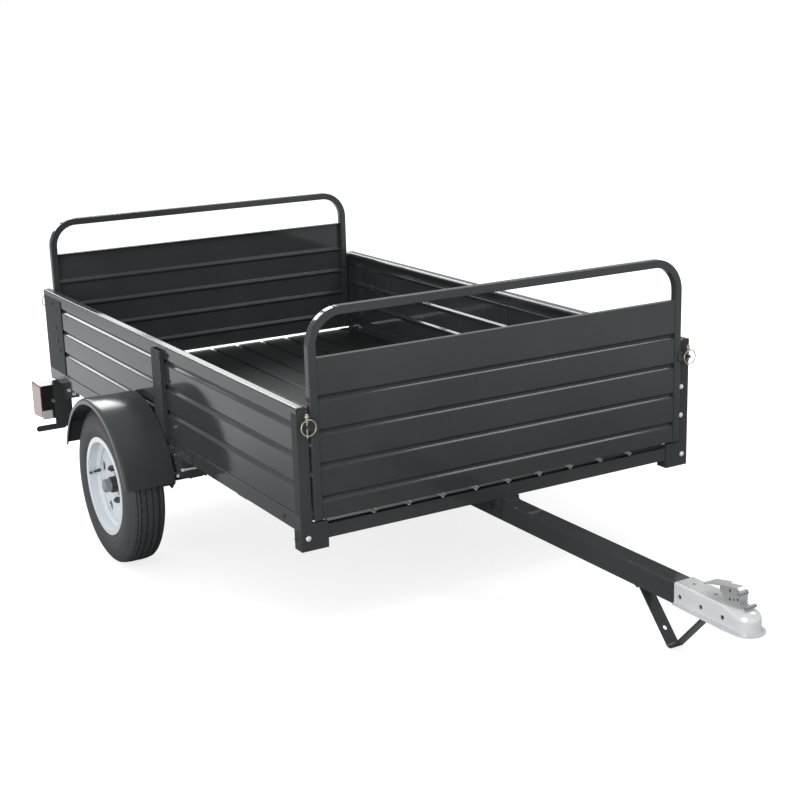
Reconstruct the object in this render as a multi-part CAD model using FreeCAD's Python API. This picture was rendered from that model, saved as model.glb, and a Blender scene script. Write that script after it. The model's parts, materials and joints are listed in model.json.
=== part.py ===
import FreeCAD, Part
import math
import os

# Small single-axle utility trailer with a flat steel bed, pressed side panels and
# a tilting hoop gate at each end, parked on its wheels and the stand under its tongue.
# Everything is first laid out level: x across, y from the front of the bed to the
# rear, z up from the underside of the front beam. At the end the whole trailer is
# tipped nose down about the x axis until the tyres and the stand share one floor.
# Left and right are as seen from the coupler, looking at the bed.

V = FreeCAD.Vector

# bed
BED_LENGTH = 2150.0
BED_WIDTH = 1372.0
RAIL_TOP = 384.0
FLOOR = 50.0
PLATE = 3.0
SKIN = 2.0
RAIL_WIDTH = 35.0
RAIL_LOW = 31.0
RAIL_HIGH = 77.0
BEAM_HEIGHT = 40.0
BEAM_DEPTH = 40.0
DECK_SEAM = 1075.0
DECK_RIBS = (-456, -342, -228, -114, 0, 114, 228, 342, 456)
RIB_DEPTH = 8.0
RIB_HALF = 9.0
SIDE_RIBS = (161.0, 246.0, 329.0)
CROSS_MEMBERS = (460.0, 915.0, 1415.0, 1830.0)

# corner posts, feet and middle posts
POST_FRONT_DEPTH = 31.0
POST_REAR_DEPTH = 190.0
FOOT_WIDTH = 84.0
FOOT_LOW = -26.0
FOOT_HIGH = 52.0
MID_POST_Y0 = 935.0
MID_POST_Y1 = 1011.0
MID_POST_PROUD = 12.0
CAP_LIP = 18.0

# hoop gates
TUBE = 25.0
TUBE_WALL = 2.0
TUBE_ROUND = 3.5
GATE_GAP = 5.0
GATE_Y = 3.5
GATE_LOW = 60.0
HOOP_TOP = 645.5
HOOP_RADIUS = 105.0
PANEL_TOP = 512.0
GATE_RIBS = (117.5, 212.0, 306.0, 400.0)
PIVOT_Z = 78.0
PIVOT_R = 5.0
PIVOT_FIT = 0.05
STUD_INSET = 22.0
STUD_Z = 333.0
STUD_R = 5.0
STUD_CLEAR = 3.0

# tongue, coupler and stand
TONGUE = 60.0
TONGUE_WALL = 3.0
TONGUE_TOP = -8.0
TONGUE_FRONT = -940.0
TONGUE_REAR = 945.0
SADDLE_HALF = 35.0
SADDLE_LENGTH = 52.0
SADDLE_DROP = 48.0
SADDLE_T = 5.0
SADDLE_NOSE = 27.0
COUPLER_REAR = -770.0
BALL_Y = -996.0
BALL_R = 23.8
BALL_PLAY = 0.5
COUPLER_LIP = 11.0
COUPLER_LIP_REAR = 8.0
COUPLER_LIP_WIDE = 13.5
NOSE_ROUND = 25.0
CORNER_ROUND = 5.0
COUPLER_HOLE_R = 6.0
COUPLER_SIDE_HOLES = (-791.0, -867.5, -944.0)
COUPLER_TOP_HOLES = (-806.5, -886.0)
LATCH_REAR = -860.0
LATCH_FRONT = -982.0
LATCH_PAD = 38.0
LATCH_WIDTH = 24.0
STAND_WIDTH = 37.0
STAND_T = 5.0
STAND_LOW = -200.0
STAND_Y = -739.0
STAND_SLOPE = 47.5
STAND_BEND = 11.0
STAND_TAB_REAR = -572.0
STAND_TAB_FRONT = -925.0
STAND_HOLE_Z = -160.0
STAND_HOLE_R = 6.5

# axle, springs and wheels
WHEEL_Y = 1158.5
WHEEL_Z = -118.7
TYRE_R = 265.5
TYRE_WIDTH = 132.0
WHEEL_OUT = 95.5
RIM_HALF = 60.0
RIM_FLANGE_R = 167.0
BEAD_R = 153.0
DISC_SET = -2.5
HUB_BARREL_R = 27.0
HUB_REACH = 59.5
CAP_REACH = 22.0
CAP_R = 21.5
SPINDLE_R = 12.7
SPINDLE_FIT = 0.08
LUG_CIRCLE_R = 57.15
AXLE = 45.0
AXLE_WALL = 4.0
AXLE_OUT = 10.0
SPRING_INSET = 46.0
HANGER_OUT = 13.0
HANGER_LOW = -28.5
SPRING_WIDTH = 44.5
LEAF = 6.0
EYE_Y = 325.0
EYE_Z = -23.0
EYE_R = 13.0
EYE_BOLT_R = 6.3

# fenders
FENDER_R = 302.0
FENDER_GAP = 14.0
FENDER_WIDTH = 170.0
FENDER_START = 12.3
FENDER_END = 163.0
FENDER_SKIRT = 20.0
FENDER_ARMS = (33.0, 147.0)

# rear lamps
LAMP_INSET = 50.0
LAMP_IN = 52.0
LAMP_WIDTH = 116.0
LAMP_LOW = -122.0
LAMP_HIGH = 13.0
LAMP_DEPTH = 68.0
LENS_DEPTH = 26.0
LENS_SIDE = 6.0
LAMP_FLARE = 12.0
LAMP_PLATE_IN = 58.0
LAMP_PLATE_LOW = -161.0
LAMP_PLATE_OUT = 13.0
LAMP_BAR = 23.0
LAMP_BAR_REACH = 80.5

half = BED_WIDTH / 2
inner = half - RAIL_WIDTH
skin_x = half - PLATE
gate_out = inner - GATE_GAP
gate_in = gate_out - TUBE
stud_x = half - STUD_INSET
spring_x = half - SPRING_INSET
axle_end = half + AXLE_OUT
wheel_x = half + WHEEL_OUT
disc_x = wheel_x - DISC_SET
hub_end = wheel_x + HUB_REACH
fender_in = half + FENDER_GAP
fender_out = fender_in + FENDER_WIDTH
lamp_y = BED_LENGTH - LAMP_INSET
axle_top = WHEEL_Z + AXLE / 2
nodes = {}


def box(x0, x1, y0, y1, z0, z1):
    return Part.makeBox(x1 - x0, y1 - y0, z1 - z0, V(x0, y0, z0))


def rod(radius, start, end):
    a = V(*start)
    b = V(*end)
    return Part.makeCylinder(radius, (b - a).Length, a, b - a)


def fuse(shapes):
    return shapes[0].multiFuse(shapes[1:]).removeSplitter()


def flip(shape):
    return shape.mirror(V(0, 0, 0), V(1, 0, 0))


def end_for_end(shape):
    return shape.mirror(V(0, BED_LENGTH / 2, 0), V(0, 1, 0))


def along_x(points, x0, x1):
    wire = Part.makePolygon([V(x0, p[0], p[1]) for p in points + points[:1]])
    return Part.Face(wire).extrude(V(x1 - x0, 0, 0))


def along_y(points, y0, y1):
    wire = Part.makePolygon([V(p[0], y0, p[1]) for p in points + points[:1]])
    return Part.Face(wire).extrude(V(0, y1 - y0, 0))


def sheet(path, thickness):
    """Closed outline of a sheet that lies to the right of its path."""
    away = []
    for i, p in enumerate(path):
        before = path[max(i - 1, 0)]
        after = path[min(i + 1, len(path) - 1)]
        normals = []
        for a, b in ((before, p), (p, after)):
            run = math.hypot(b[0] - a[0], b[1] - a[1])
            if run > 0:
                normals.append(((b[1] - a[1]) / run, (a[0] - b[0]) / run))
        nx = sum(n[0] for n in normals)
        ny = sum(n[1] for n in normals)
        size = math.hypot(nx, ny)
        nx = nx / size
        ny = ny / size
        reach = thickness / (nx * normals[0][0] + ny * normals[0][1])
        away.append((p[0] + nx * reach, p[1] + ny * reach))
    return list(path) + away[::-1]


def turned(points):
    """Solid turned about the wheel line from x, radius points."""
    wire = Part.makePolygon([V(p[0], WHEEL_Y, WHEEL_Z + p[1]) for p in points + points[:1]])
    return Part.Face(wire).revolve(V(0, WHEEL_Y, WHEEL_Z), V(1, 0, 0), 360)


def ribbed(start, end, ribs, depth, across):
    """Straight line from start to end with shallow V ribs pressed towards across."""
    path = [start]
    for r in ribs:
        path.append((0, r - RIB_HALF))
        path.append((depth, r - 2))
        path.append((depth, r + 2))
        path.append((0, r + RIB_HALF))
    path.append(end)
    return [across(p) for p in path]


# frame beams
beam_front = fuse([
    box(-inner + 0.5, inner - 0.5, PLATE, 2 * PLATE, 0, BEAM_HEIGHT),
    box(-inner + 0.5, inner - 0.5, 2 * PLATE, PLATE + BEAM_DEPTH, BEAM_HEIGHT - PLATE, BEAM_HEIGHT),
    box(-inner + 0.5, inner - 0.5, 2 * PLATE, PLATE + BEAM_DEPTH, 0, PLATE),
])
nodes["front_beam"] = beam_front

rear_half = half - LAMP_PLATE_IN - 3
rear_web = BED_LENGTH - PLATE
rear_tip = rear_web - BEAM_DEPTH
nodes["rear_beam"] = fuse([
    box(-rear_half, rear_half, rear_web - PLATE, rear_web, 0, BEAM_HEIGHT),
    box(-rear_half, rear_half, rear_tip, rear_web - PLATE, 0, PLATE),
    box(-inner, inner, rear_tip, rear_web - PLATE, BEAM_HEIGHT - PLATE, BEAM_HEIGHT),
])

rail = box(inner, half, PLATE, rear_web, RAIL_LOW, RAIL_HIGH)
rail = rail.cut(box(inner + PLATE, half - PLATE, 0, BED_LENGTH, RAIL_LOW + PLATE, RAIL_HIGH - PLATE))
nodes["side_rail_right"] = rail
nodes["side_rail_left"] = flip(rail)

members = []
for y in CROSS_MEMBERS:
    members.append(fuse([
        box(-inner + PLATE, inner - PLATE, y - 20, y - 20 + PLATE, 0, BEAM_HEIGHT),
        box(-inner + PLATE, inner - PLATE, y - 20 + PLATE, y + 20, BEAM_HEIGHT - PLATE, BEAM_HEIGHT),
        box(-inner + PLATE, inner - PLATE, y - 20 + PLATE, y + 20, 0, PLATE),
        box(-inner, -inner + PLATE, y - 30, y + 30, 0, FLOOR - PLATE),
        box(inner - PLATE, inner, y - 30, y + 30, 0, FLOOR - PLATE),
    ]))
nodes["cross_members"] = Part.makeCompound(members)


# ribbed floor in two sheets
def deck(width, y0, y1):
    path = ribbed((0, -width), (0, width), DECK_RIBS, RIB_DEPTH, lambda p: (p[1], FLOOR - p[0]))
    return along_y(sheet(path, SKIN), y0, y1)


deck_edge = inner - 0.5
lip_edge = half - FOOT_WIDTH - 1
beam_back = PLATE + BEAM_DEPTH + 1
nodes["deck_front"] = fuse([
    deck(deck_edge, beam_back, DECK_SEAM - 0.3),
    deck(lip_edge, 1, beam_back),
])
nodes["deck_rear"] = fuse([
    deck(deck_edge, DECK_SEAM + 0.3, BED_LENGTH - beam_back),
    deck(lip_edge, BED_LENGTH - beam_back, BED_LENGTH - 1),
])


# pressed side panels
def side_panel(y0, y1):
    path = ribbed((0, RAIL_HIGH), (0, RAIL_TOP - 6), SIDE_RIBS, -RIB_DEPTH, lambda p: (skin_x + p[0], p[1]))
    path = [(skin_x - 22, RAIL_HIGH)] + path
    return along_y(sheet(path[::-1], SKIN), y0, y1)


mid_y = (MID_POST_Y0 + MID_POST_Y1) / 2
panel_front = side_panel(PLATE + 1, mid_y - 1)
panel_rear = side_panel(mid_y + 1, BED_LENGTH - PLATE - 1)
nodes["side_panel_front_right"] = panel_front
nodes["side_panel_front_left"] = flip(panel_front)
nodes["side_panel_rear_right"] = panel_rear
nodes["side_panel_rear_left"] = flip(panel_rear)

cap = fuse([
    box(inner, half, 0, BED_LENGTH, RAIL_TOP - PLATE, RAIL_TOP),
    box(skin_x, half, 0, BED_LENGTH, RAIL_TOP - CAP_LIP, RAIL_TOP - PLATE),
    box(inner, inner + SKIN, 0, BED_LENGTH, RAIL_TOP - 12, RAIL_TOP - PLATE),
])
nodes["top_rail_right"] = cap
nodes["top_rail_left"] = flip(cap)


# corner posts with the lugs that carry the gate pivots
def corner_post(depth):
    post = fuse([
        box(inner, half, 0, PLATE, FOOT_HIGH, RAIL_TOP - CAP_LIP),
        box(inner + PLATE, skin_x - 1, 0, PLATE, RAIL_TOP - CAP_LIP, RAIL_TOP - PLATE),
        box(skin_x, half, PLATE, depth, RAIL_HIGH, RAIL_TOP - CAP_LIP),
        box(inner - PLATE, inner, 0, 30, PIVOT_Z - 18, PIVOT_Z + 18),
        box(inner - PLATE, inner, PLATE + 1, 30, BEAM_HEIGHT, PIVOT_Z - 18),
    ])
    hole = rod(PIVOT_R + PIVOT_FIT, (inner - 10, GATE_Y, PIVOT_Z), (inner, GATE_Y, PIVOT_Z))
    stud = rod(STUD_R + STUD_CLEAR, (stud_x, -5, STUD_Z), (stud_x, 10, STUD_Z))
    return post.cut(hole).cut(stud)


post = corner_post(POST_FRONT_DEPTH)
nodes["corner_post_front_right"] = post
nodes["corner_post_front_left"] = flip(post)
post = end_for_end(corner_post(POST_REAR_DEPTH))
nodes["corner_post_rear_right"] = post
nodes["corner_post_rear_left"] = flip(post)

foot = fuse([
    box(half - FOOT_WIDTH, half, 0, PLATE, FOOT_LOW, FOOT_HIGH),
    box(half - PLATE, half, PLATE, PLATE + BEAM_DEPTH, FOOT_LOW, RAIL_LOW),
    box(half - FOOT_WIDTH, half - FOOT_WIDTH + PLATE, PLATE, PLATE + BEAM_DEPTH, FOOT_LOW, 0),
])
nodes["front_feet"] = Part.makeCompound([foot, flip(foot)])
plate = box(half - FOOT_WIDTH, half, BED_LENGTH - PLATE, BED_LENGTH, RAIL_LOW, FOOT_HIGH)
nodes["rear_corner_plates"] = Part.makeCompound([plate, flip(plate)])

proud = half + MID_POST_PROUD
mid = fuse([
    box(proud - PLATE, proud, MID_POST_Y0, MID_POST_Y1, RAIL_LOW, RAIL_TOP - CAP_LIP - 1),
    box(half, proud - PLATE, MID_POST_Y0, MID_POST_Y0 + PLATE, RAIL_LOW, RAIL_TOP - CAP_LIP - 1),
    box(half, proud - PLATE, MID_POST_Y1 - PLATE, MID_POST_Y1, RAIL_LOW, RAIL_TOP - CAP_LIP - 1),
    box(skin_x, half, MID_POST_Y0, MID_POST_Y0 + PLATE, RAIL_HIGH, RAIL_TOP - CAP_LIP - 1),
    box(skin_x, half, MID_POST_Y1 - PLATE, MID_POST_Y1, RAIL_HIGH, RAIL_TOP - CAP_LIP - 1),
])
nodes["mid_post_right"] = mid
nodes["mid_post_left"] = flip(mid)


# hoop gates: tube hoop, ribbed panel, and the pinned studs that hold the gate up
def arch(x, top, radius, low, y0, y1):
    k = radius * (1 - math.sqrt(0.5))
    a = V(-x, y0, low)
    b = V(-x, y0, top - radius)
    c = V(-x + radius, y0, top)
    d = V(x - radius, y0, top)
    e = V(x, y0, top - radius)
    f = V(x, y0, low)
    edges = [
        Part.makeLine(a, b),
        Part.Arc(b, V(-x + k, y0, top - k), c).toShape(),
        Part.makeLine(c, d),
        Part.Arc(d, V(x - k, y0, top - k), e).toShape(),
        Part.makeLine(e, f),
        Part.makeLine(f, a),
    ]
    return Part.Face(Part.Wire(edges)).extrude(V(0, y1 - y0, 0))


def along_tube(edge):
    """True for the long edges of the hoop, at its front and back faces."""
    if edge.BoundBox.YLength > 0.1:
        return False
    return edge.BoundBox.ZMax > GATE_LOW + 1


def hoop():
    y0 = GATE_Y - TUBE / 2
    y1 = GATE_Y + TUBE / 2
    w = TUBE_WALL
    r = HOOP_RADIUS
    body = arch(gate_out, HOOP_TOP, r, GATE_LOW, y0, y1)
    body = body.cut(arch(gate_in, HOOP_TOP - TUBE, r - TUBE, GATE_LOW - 1, y0 - 1, y1 + 1))
    body = body.makeFillet(TUBE_ROUND, [e for e in body.Edges if along_tube(e)])
    core = arch(gate_out - w, HOOP_TOP - w, r - w, GATE_LOW - 1, y0 + w, y1 - w)
    core = core.cut(arch(gate_in + w, HOOP_TOP - TUBE + w, r - TUBE + w, GATE_LOW - 2, y0, y1))
    parts = [body.cut(core)]
    for s in (-1, 1):
        parts.append(rod(PIVOT_R, (s * gate_in, GATE_Y, PIVOT_Z), (s * inner, GATE_Y, PIVOT_Z)))
        x0 = min(s * (gate_out - TUBE / 2), s * (stud_x + 14))
        x1 = max(s * (gate_out - TUBE / 2), s * (stud_x + 14))
        parts.append(box(x0, x1, y0 - PLATE, y0, STUD_Z - 16, STUD_Z + 16))
        parts.append(rod(STUD_R, (s * stud_x, y0 - PLATE - 18, STUD_Z), (s * stud_x, 12, STUD_Z)))
    solid = fuse(parts)
    for s in (-1, 1):
        x = s * stud_x
        y = y0 - PLATE - 9
        solid = solid.cut(rod(PIN_R + 0.3, (x, y, STUD_Z - 20), (x, y, STUD_Z + 20)))
    return solid


def gate_panel():
    y0 = GATE_Y - TUBE / 2 + PLATE
    path = ribbed((0, GATE_LOW), (0, PANEL_TOP), GATE_RIBS, RIB_DEPTH, lambda p: (y0 + p[0], p[1]))
    path = [(y0 + 18, GATE_LOW)] + path + [(y0 + 18, PANEL_TOP)]
    return along_x(sheet(path, SKIN), -gate_in, gate_in)


PIN_R = 2.6


def linch_pin(x):
    y = GATE_Y - TUBE / 2 - PLATE - 9
    shank = rod(PIN_R, (x, y, STUD_Z - 38), (x, y, STUD_Z + 36))
    head = rod(6, (x, y, STUD_Z + 22), (x, y, STUD_Z + 33))
    ring = Part.makeTorus(21, 2.1, V(x, y - 9, STUD_Z + 10), V(0, 1, 0))
    return fuse([shank, head]), ring


def linch_pins():
    solids = []
    for s in (-1, 1):
        solids.extend(linch_pin(s * stud_x))
    return Part.makeCompound(solids)


gate_hoop = hoop()
nodes["front_hoop"] = gate_hoop
nodes["front_gate_panel"] = gate_panel()
nodes["front_linch_pins"] = linch_pins()
nodes["rear_hoop"] = end_for_end(gate_hoop)
nodes["rear_gate_panel"] = end_for_end(gate_panel())
nodes["rear_linch_pins"] = end_for_end(linch_pins())


# tongue and what bolts to it
t_half = TONGUE / 2
t_low = TONGUE_TOP - TONGUE
tongue = box(-t_half, t_half, TONGUE_FRONT, TONGUE_REAR, t_low, TONGUE_TOP)
tongue = tongue.makeFillet(CORNER_ROUND, [e for e in tongue.Edges if e.BoundBox.YLength > TONGUE])
w = TONGUE_WALL
hollow = box(-t_half + w, t_half - w, TONGUE_FRONT - 1, TONGUE_REAR + 1, t_low + w, TONGUE_TOP - w)
nodes["tongue"] = tongue.cut(hollow)

saddles = []
for y in (PLATE + BEAM_DEPTH / 2, CROSS_MEMBERS[1]):
    y0 = y - SADDLE_LENGTH / 2
    y1 = y + SADDLE_LENGTH / 2
    saddles.append(fuse([
        box(-SADDLE_HALF, SADDLE_HALF, y0, y1, TONGUE_TOP, 0),
        box(-t_half - SADDLE_T, -t_half, y0, y1, TONGUE_TOP - SADDLE_DROP, TONGUE_TOP),
        box(t_half, t_half + SADDLE_T, y0, y1, TONGUE_TOP - SADDLE_DROP, TONGUE_TOP),
    ]))
nose_y = PLATE + BEAM_DEPTH / 2 - SADDLE_LENGTH / 2
nose_half = t_half - CORNER_ROUND
nose = along_x([(nose_y, 0), (nose_y - SADDLE_NOSE, TONGUE_TOP), (nose_y, TONGUE_TOP)], -nose_half, nose_half)
saddles[0] = saddles[0].fuse(nose).removeSplitter()
nodes["tongue_saddles"] = Part.makeCompound(saddles)

c_out = t_half + PLATE
c_top = TONGUE_TOP + PLATE
c_low = t_low + 6
dome_z = c_top - 36


def dome(radius, low):
    """Upright round plug with a ball end, on the hitch ball's axis."""
    a = V(0, BALL_Y, low)
    b = V(0, BALL_Y + radius, low)
    c = V(0, BALL_Y + radius, dome_z)
    d = V(0, BALL_Y + radius * math.sqrt(0.5), dome_z + radius * math.sqrt(0.5))
    e = V(0, BALL_Y, dome_z + radius)
    edges = [Part.makeLine(a, b), Part.makeLine(b, c), Part.Arc(c, d, e).toShape(), Part.makeLine(e, a)]
    return Part.Face(Part.Wire(edges)).revolve(V(0, BALL_Y, 0), V(0, 0, 1), 360)


def cover_section(y, radius):
    """Edges of the coupler's cross section: open square below, round corners above."""
    k = radius * (1 - math.sqrt(0.5))
    a = V(-c_out, y, c_low)
    b = V(-c_out, y, c_top - radius)
    c = V(-c_out + radius, y, c_top)
    d = V(c_out - radius, y, c_top)
    e = V(c_out, y, c_top - radius)
    f = V(c_out, y, c_low)
    return Part.Wire([
        Part.makeLine(a, b),
        Part.Arc(b, V(-c_out + k, y, c_top - k), c).toShape(),
        Part.makeLine(c, d),
        Part.Arc(d, V(c_out - k, y, c_top - k), e).toShape(),
        Part.makeLine(e, f),
        Part.makeLine(f, a),
    ])


def nose_turned():
    """The coupler's rounded front, turned about the hitch ball's axis."""
    k = NOSE_ROUND * (1 - math.sqrt(0.5))
    a = V(0, BALL_Y, c_low)
    b = V(c_out, BALL_Y, c_low)
    c = V(c_out, BALL_Y, c_top - NOSE_ROUND)
    d = V(c_out - NOSE_ROUND, BALL_Y, c_top)
    e = V(0, BALL_Y, c_top)
    middle = V(c_out - k, BALL_Y, c_top - k)
    edges = [Part.makeLine(a, b), Part.makeLine(b, c), Part.Arc(c, middle, d).toShape()]
    edges += [Part.makeLine(d, e), Part.makeLine(e, a)]
    return Part.Face(Part.Wire(edges)).revolve(V(0, BALL_Y, 0), V(0, 0, 1), 360)


socket = BALL_R + BALL_PLAY
cover_y = TONGUE_FRONT - 2
cover = Part.Face(cover_section(cover_y, CORNER_ROUND)).extrude(V(0, COUPLER_REAR - cover_y, 0))
blend = Part.makeLoft([cover_section(cover_y, CORNER_ROUND), cover_section(BALL_Y, NOSE_ROUND)], True, True)
lip = [(COUPLER_REAR, COUPLER_LIP_REAR), (cover_y - 12, COUPLER_LIP_WIDE), (BALL_Y, COUPLER_LIP)]
lip = [(c_out + reach, y) for y, reach in lip]
lip = lip + [(-x, y) for x, y in lip[::-1]]
lip = Part.Face(Part.makePolygon([V(x, y, c_low) for x, y in lip + lip[:1]])).extrude(V(0, 0, PLATE))
shell = fuse([
    cover,
    blend,
    nose_turned(),
    lip,
    rod(c_out + COUPLER_LIP, (0, BALL_Y, c_low), (0, BALL_Y, c_low + PLATE)),
])
shell = shell.cut(box(-t_half, t_half, cover_y, COUPLER_REAR + 1, c_low - 1, TONGUE_TOP))
shell = shell.cut(dome(socket, c_low - 1))
for y in COUPLER_SIDE_HOLES:
    shell = shell.cut(rod(COUPLER_HOLE_R, (-c_out - 1, y, t_low + t_half), (c_out + 1, y, t_low + t_half)))
for y in COUPLER_TOP_HOLES:
    shell = shell.cut(rod(COUPLER_HOLE_R, (0, y, TONGUE_TOP - 1), (0, y, c_top + 1)))
nodes["coupler"] = shell

# latch: a wide finger pad behind a narrow stamped channel on a base plate
pad = [(LATCH_REAR, c_top + 24), (LATCH_REAR - 5, c_top + 29), (LATCH_REAR - 60, c_top + 41)]
pad = along_x(sheet(pad[::-1], PLATE), -LATCH_PAD / 2, LATCH_PAD / 2)
side = [(LATCH_REAR - 50, c_top + 22), (LATCH_REAR - 50, c_top + 37), (LATCH_FRONT + 14, c_top + 47),
        (LATCH_FRONT + 4, c_top + 42), (LATCH_FRONT, c_top + 30), (LATCH_FRONT, c_top), (LATCH_REAR - 78, c_top)]
channel = along_x(side, -LATCH_WIDTH / 2, LATCH_WIDTH / 2)
void = [(LATCH_REAR - 54, c_top + 20), (LATCH_REAR - 54, c_top + 33), (LATCH_FRONT + 15, c_top + 43),
        (LATCH_FRONT + 7, c_top + 39), (LATCH_FRONT + 3, c_top + 29), (LATCH_FRONT + 3, c_top - 1), (LATCH_REAR - 74, c_top - 1)]
channel = channel.cut(along_x(void, PLATE - LATCH_WIDTH / 2, LATCH_WIDTH / 2 - PLATE))
base = box(-LATCH_WIDTH / 2 - 2, LATCH_WIDTH / 2 + 2, LATCH_FRONT - 4, LATCH_FRONT + 52, c_top, c_top + PLATE)
nodes["coupler_latch"] = fuse([pad, channel, base])


# stand: a flat bar bent to a V, with a rounded foot and two tabs under the tongue
def stand_side(radius, tab_z):
    """Points of one face of the bar, from the rear tab's end to the front tab's end."""
    turn = math.radians(STAND_SLOPE)
    centre = STAND_LOW + STAND_BEND + STAND_T
    dy = radius * math.sin(turn)
    z = centre - radius * math.cos(turn)
    top = dy + (tab_z - z) / math.tan(turn)
    return [
        V(0, STAND_TAB_REAR, tab_z), V(0, STAND_Y + top, tab_z), V(0, STAND_Y + dy, z),
        V(0, STAND_Y, centre - radius), V(0, STAND_Y - dy, z), V(0, STAND_Y - top, tab_z),
        V(0, STAND_TAB_FRONT, tab_z),
    ]


def stand_edges(p):
    return [
        Part.makeLine(p[0], p[1]), Part.makeLine(p[1], p[2]), Part.Arc(p[2], p[3], p[4]).toShape(),
        Part.makeLine(p[4], p[5]), Part.makeLine(p[5], p[6]),
    ]


inside = stand_side(STAND_BEND, t_low)
outside = stand_side(STAND_BEND + STAND_T, t_low - STAND_T)
edges = stand_edges(inside) + [Part.makeLine(inside[6], outside[6])]
edges += stand_edges(outside)[::-1] + [Part.makeLine(outside[0], inside[0])]
stand = Part.Face(Part.Wire(Part.__sortEdges__(edges))).extrude(V(STAND_WIDTH, 0, 0))
stand.translate(V(-STAND_WIDTH / 2, 0, 0))
turn = math.radians(STAND_SLOPE)
hole_y = inside[2].y + (STAND_HOLE_Z - inside[2].z) / math.tan(turn)
reach = V(0, -math.sin(turn), math.cos(turn)) * 20
middle = V(0, hole_y, STAND_HOLE_Z)
stand = stand.cut(rod(STAND_HOLE_R, tuple(middle - reach), tuple(middle + reach)))
nodes["tongue_stand"] = stand

# axle beam with its spindles
axle = box(-axle_end, axle_end, WHEEL_Y - AXLE / 2, WHEEL_Y + AXLE / 2, WHEEL_Z - AXLE / 2, axle_top)
bore = AXLE / 2 - AXLE_WALL
axle = axle.cut(box(-axle_end + 40, axle_end - 40, WHEEL_Y - bore, WHEEL_Y + bore, WHEEL_Z - bore, WHEEL_Z + bore))
spindle = rod(SPINDLE_R, (axle_end - 5, WHEEL_Y, WHEEL_Z), (hub_end - 15, WHEEL_Y, WHEEL_Z))
nodes["axle"] = fuse([axle, spindle, flip(spindle)])

# leaf springs
pad = 4.0
main_mid = axle_top + pad + 2.5 * LEAF
rise = (EYE_Z - EYE_R + LEAF / 2) - LEAF / 2 - main_mid
bend = EYE_Y ** 2 / (2 * rise)


def leaf(reach, index):
    low = axle_top + pad + index * LEAF
    x0 = spring_x - SPRING_WIDTH / 2

    def at(y, z):
        return V(x0, WHEEL_Y + y, z + (y * y) / (2 * bend))

    a = at(-reach, low)
    b = at(0, low)
    c = at(reach, low)
    d = at(reach, low + LEAF + 0.3)
    e = at(0, low + LEAF + 0.3)
    f = at(-reach, low + LEAF + 0.3)
    edges = [Part.Arc(a, b, c).toShape(), Part.makeLine(c, d), Part.Arc(d, e, f).toShape(), Part.makeLine(f, a)]
    return Part.Face(Part.Wire(edges)).extrude(V(SPRING_WIDTH, 0, 0))


def spring():
    x0 = spring_x - SPRING_WIDTH / 2
    x1 = spring_x + SPRING_WIDTH / 2
    parts = [leaf(EYE_Y, 2)]
    parts.append(leaf(240, 1))
    parts.append(leaf(140, 0))
    for s in (-1, 1):
        parts.append(rod(EYE_R, (x0, WHEEL_Y + s * EYE_Y, EYE_Z), (x1, WHEEL_Y + s * EYE_Y, EYE_Z)))
    parts.append(box(x0, x1, WHEEL_Y - 40, WHEEL_Y + 40, axle_top, axle_top + pad + 1))
    solid = fuse(parts)
    for s in (-1, 1):
        y = WHEEL_Y + s * EYE_Y
        solid = solid.cut(rod(EYE_BOLT_R + 0.3, (x0 - 1, y, EYE_Z), (x1 + 1, y, EYE_Z)))
    return solid


right_spring = spring()
nodes["leaf_spring_right"] = right_spring
nodes["leaf_spring_left"] = flip(right_spring)

cheek = SPRING_WIDTH / 2 + 1.5


def front_hanger():
    y = WHEEL_Y - EYE_Y
    front = y - 22
    arm_y = WHEEL_Y - FENDER_R * math.cos(math.radians(FENDER_ARMS[0]))
    parts = [
        box(spring_x - 22, half + HANGER_OUT, front, front + 4, HANGER_LOW, RAIL_LOW),
        box(spring_x - cheek - 4, half, front + 4, y + 45, RAIL_LOW - 4, RAIL_LOW),
    ]
    outline = [
        (arm_y - 22, RAIL_LOW + 31), (front - 66, RAIL_LOW + 31), (front - 66, RAIL_LOW + 2),
        (front, RAIL_LOW), (front, HANGER_LOW), (y + 80, HANGER_LOW), (y + 96, 0),
        (y + 96, RAIL_LOW - 1), (arm_y - 22, RAIL_LOW - 1),
    ]
    parts.append(along_x(outline, half, half + PLATE))
    for x in (spring_x - cheek - 4, spring_x + cheek):
        outline = [(front + 4, RAIL_LOW - 4), (front + 4, HANGER_LOW - 6), (y + 14, HANGER_LOW - 8),
                   (y + 45, RAIL_LOW - 4)]
        parts.append(along_x(outline, x, x + 4))
    x1 = half + HANGER_OUT + 2
    x0 = spring_x - cheek - 4
    parts.append(rod(EYE_BOLT_R, (x0 - 8, y, EYE_Z), (x1, y, EYE_Z)))
    return fuse(parts)


def rear_hanger():
    y = WHEEL_Y + EYE_Y + 14
    parts = [box(spring_x - cheek - 4, half, y - 26, y + 40, RAIL_LOW - 4, RAIL_LOW)]
    for x in (spring_x - cheek - 4, spring_x + cheek):
        outline = [(y - 20, RAIL_LOW - 4), (y - 14, -8), (y + 14, -8), (y + 30, RAIL_LOW - 4)]
        parts.append(along_x(outline, x, x + 4))
    return fuse(parts)


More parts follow.
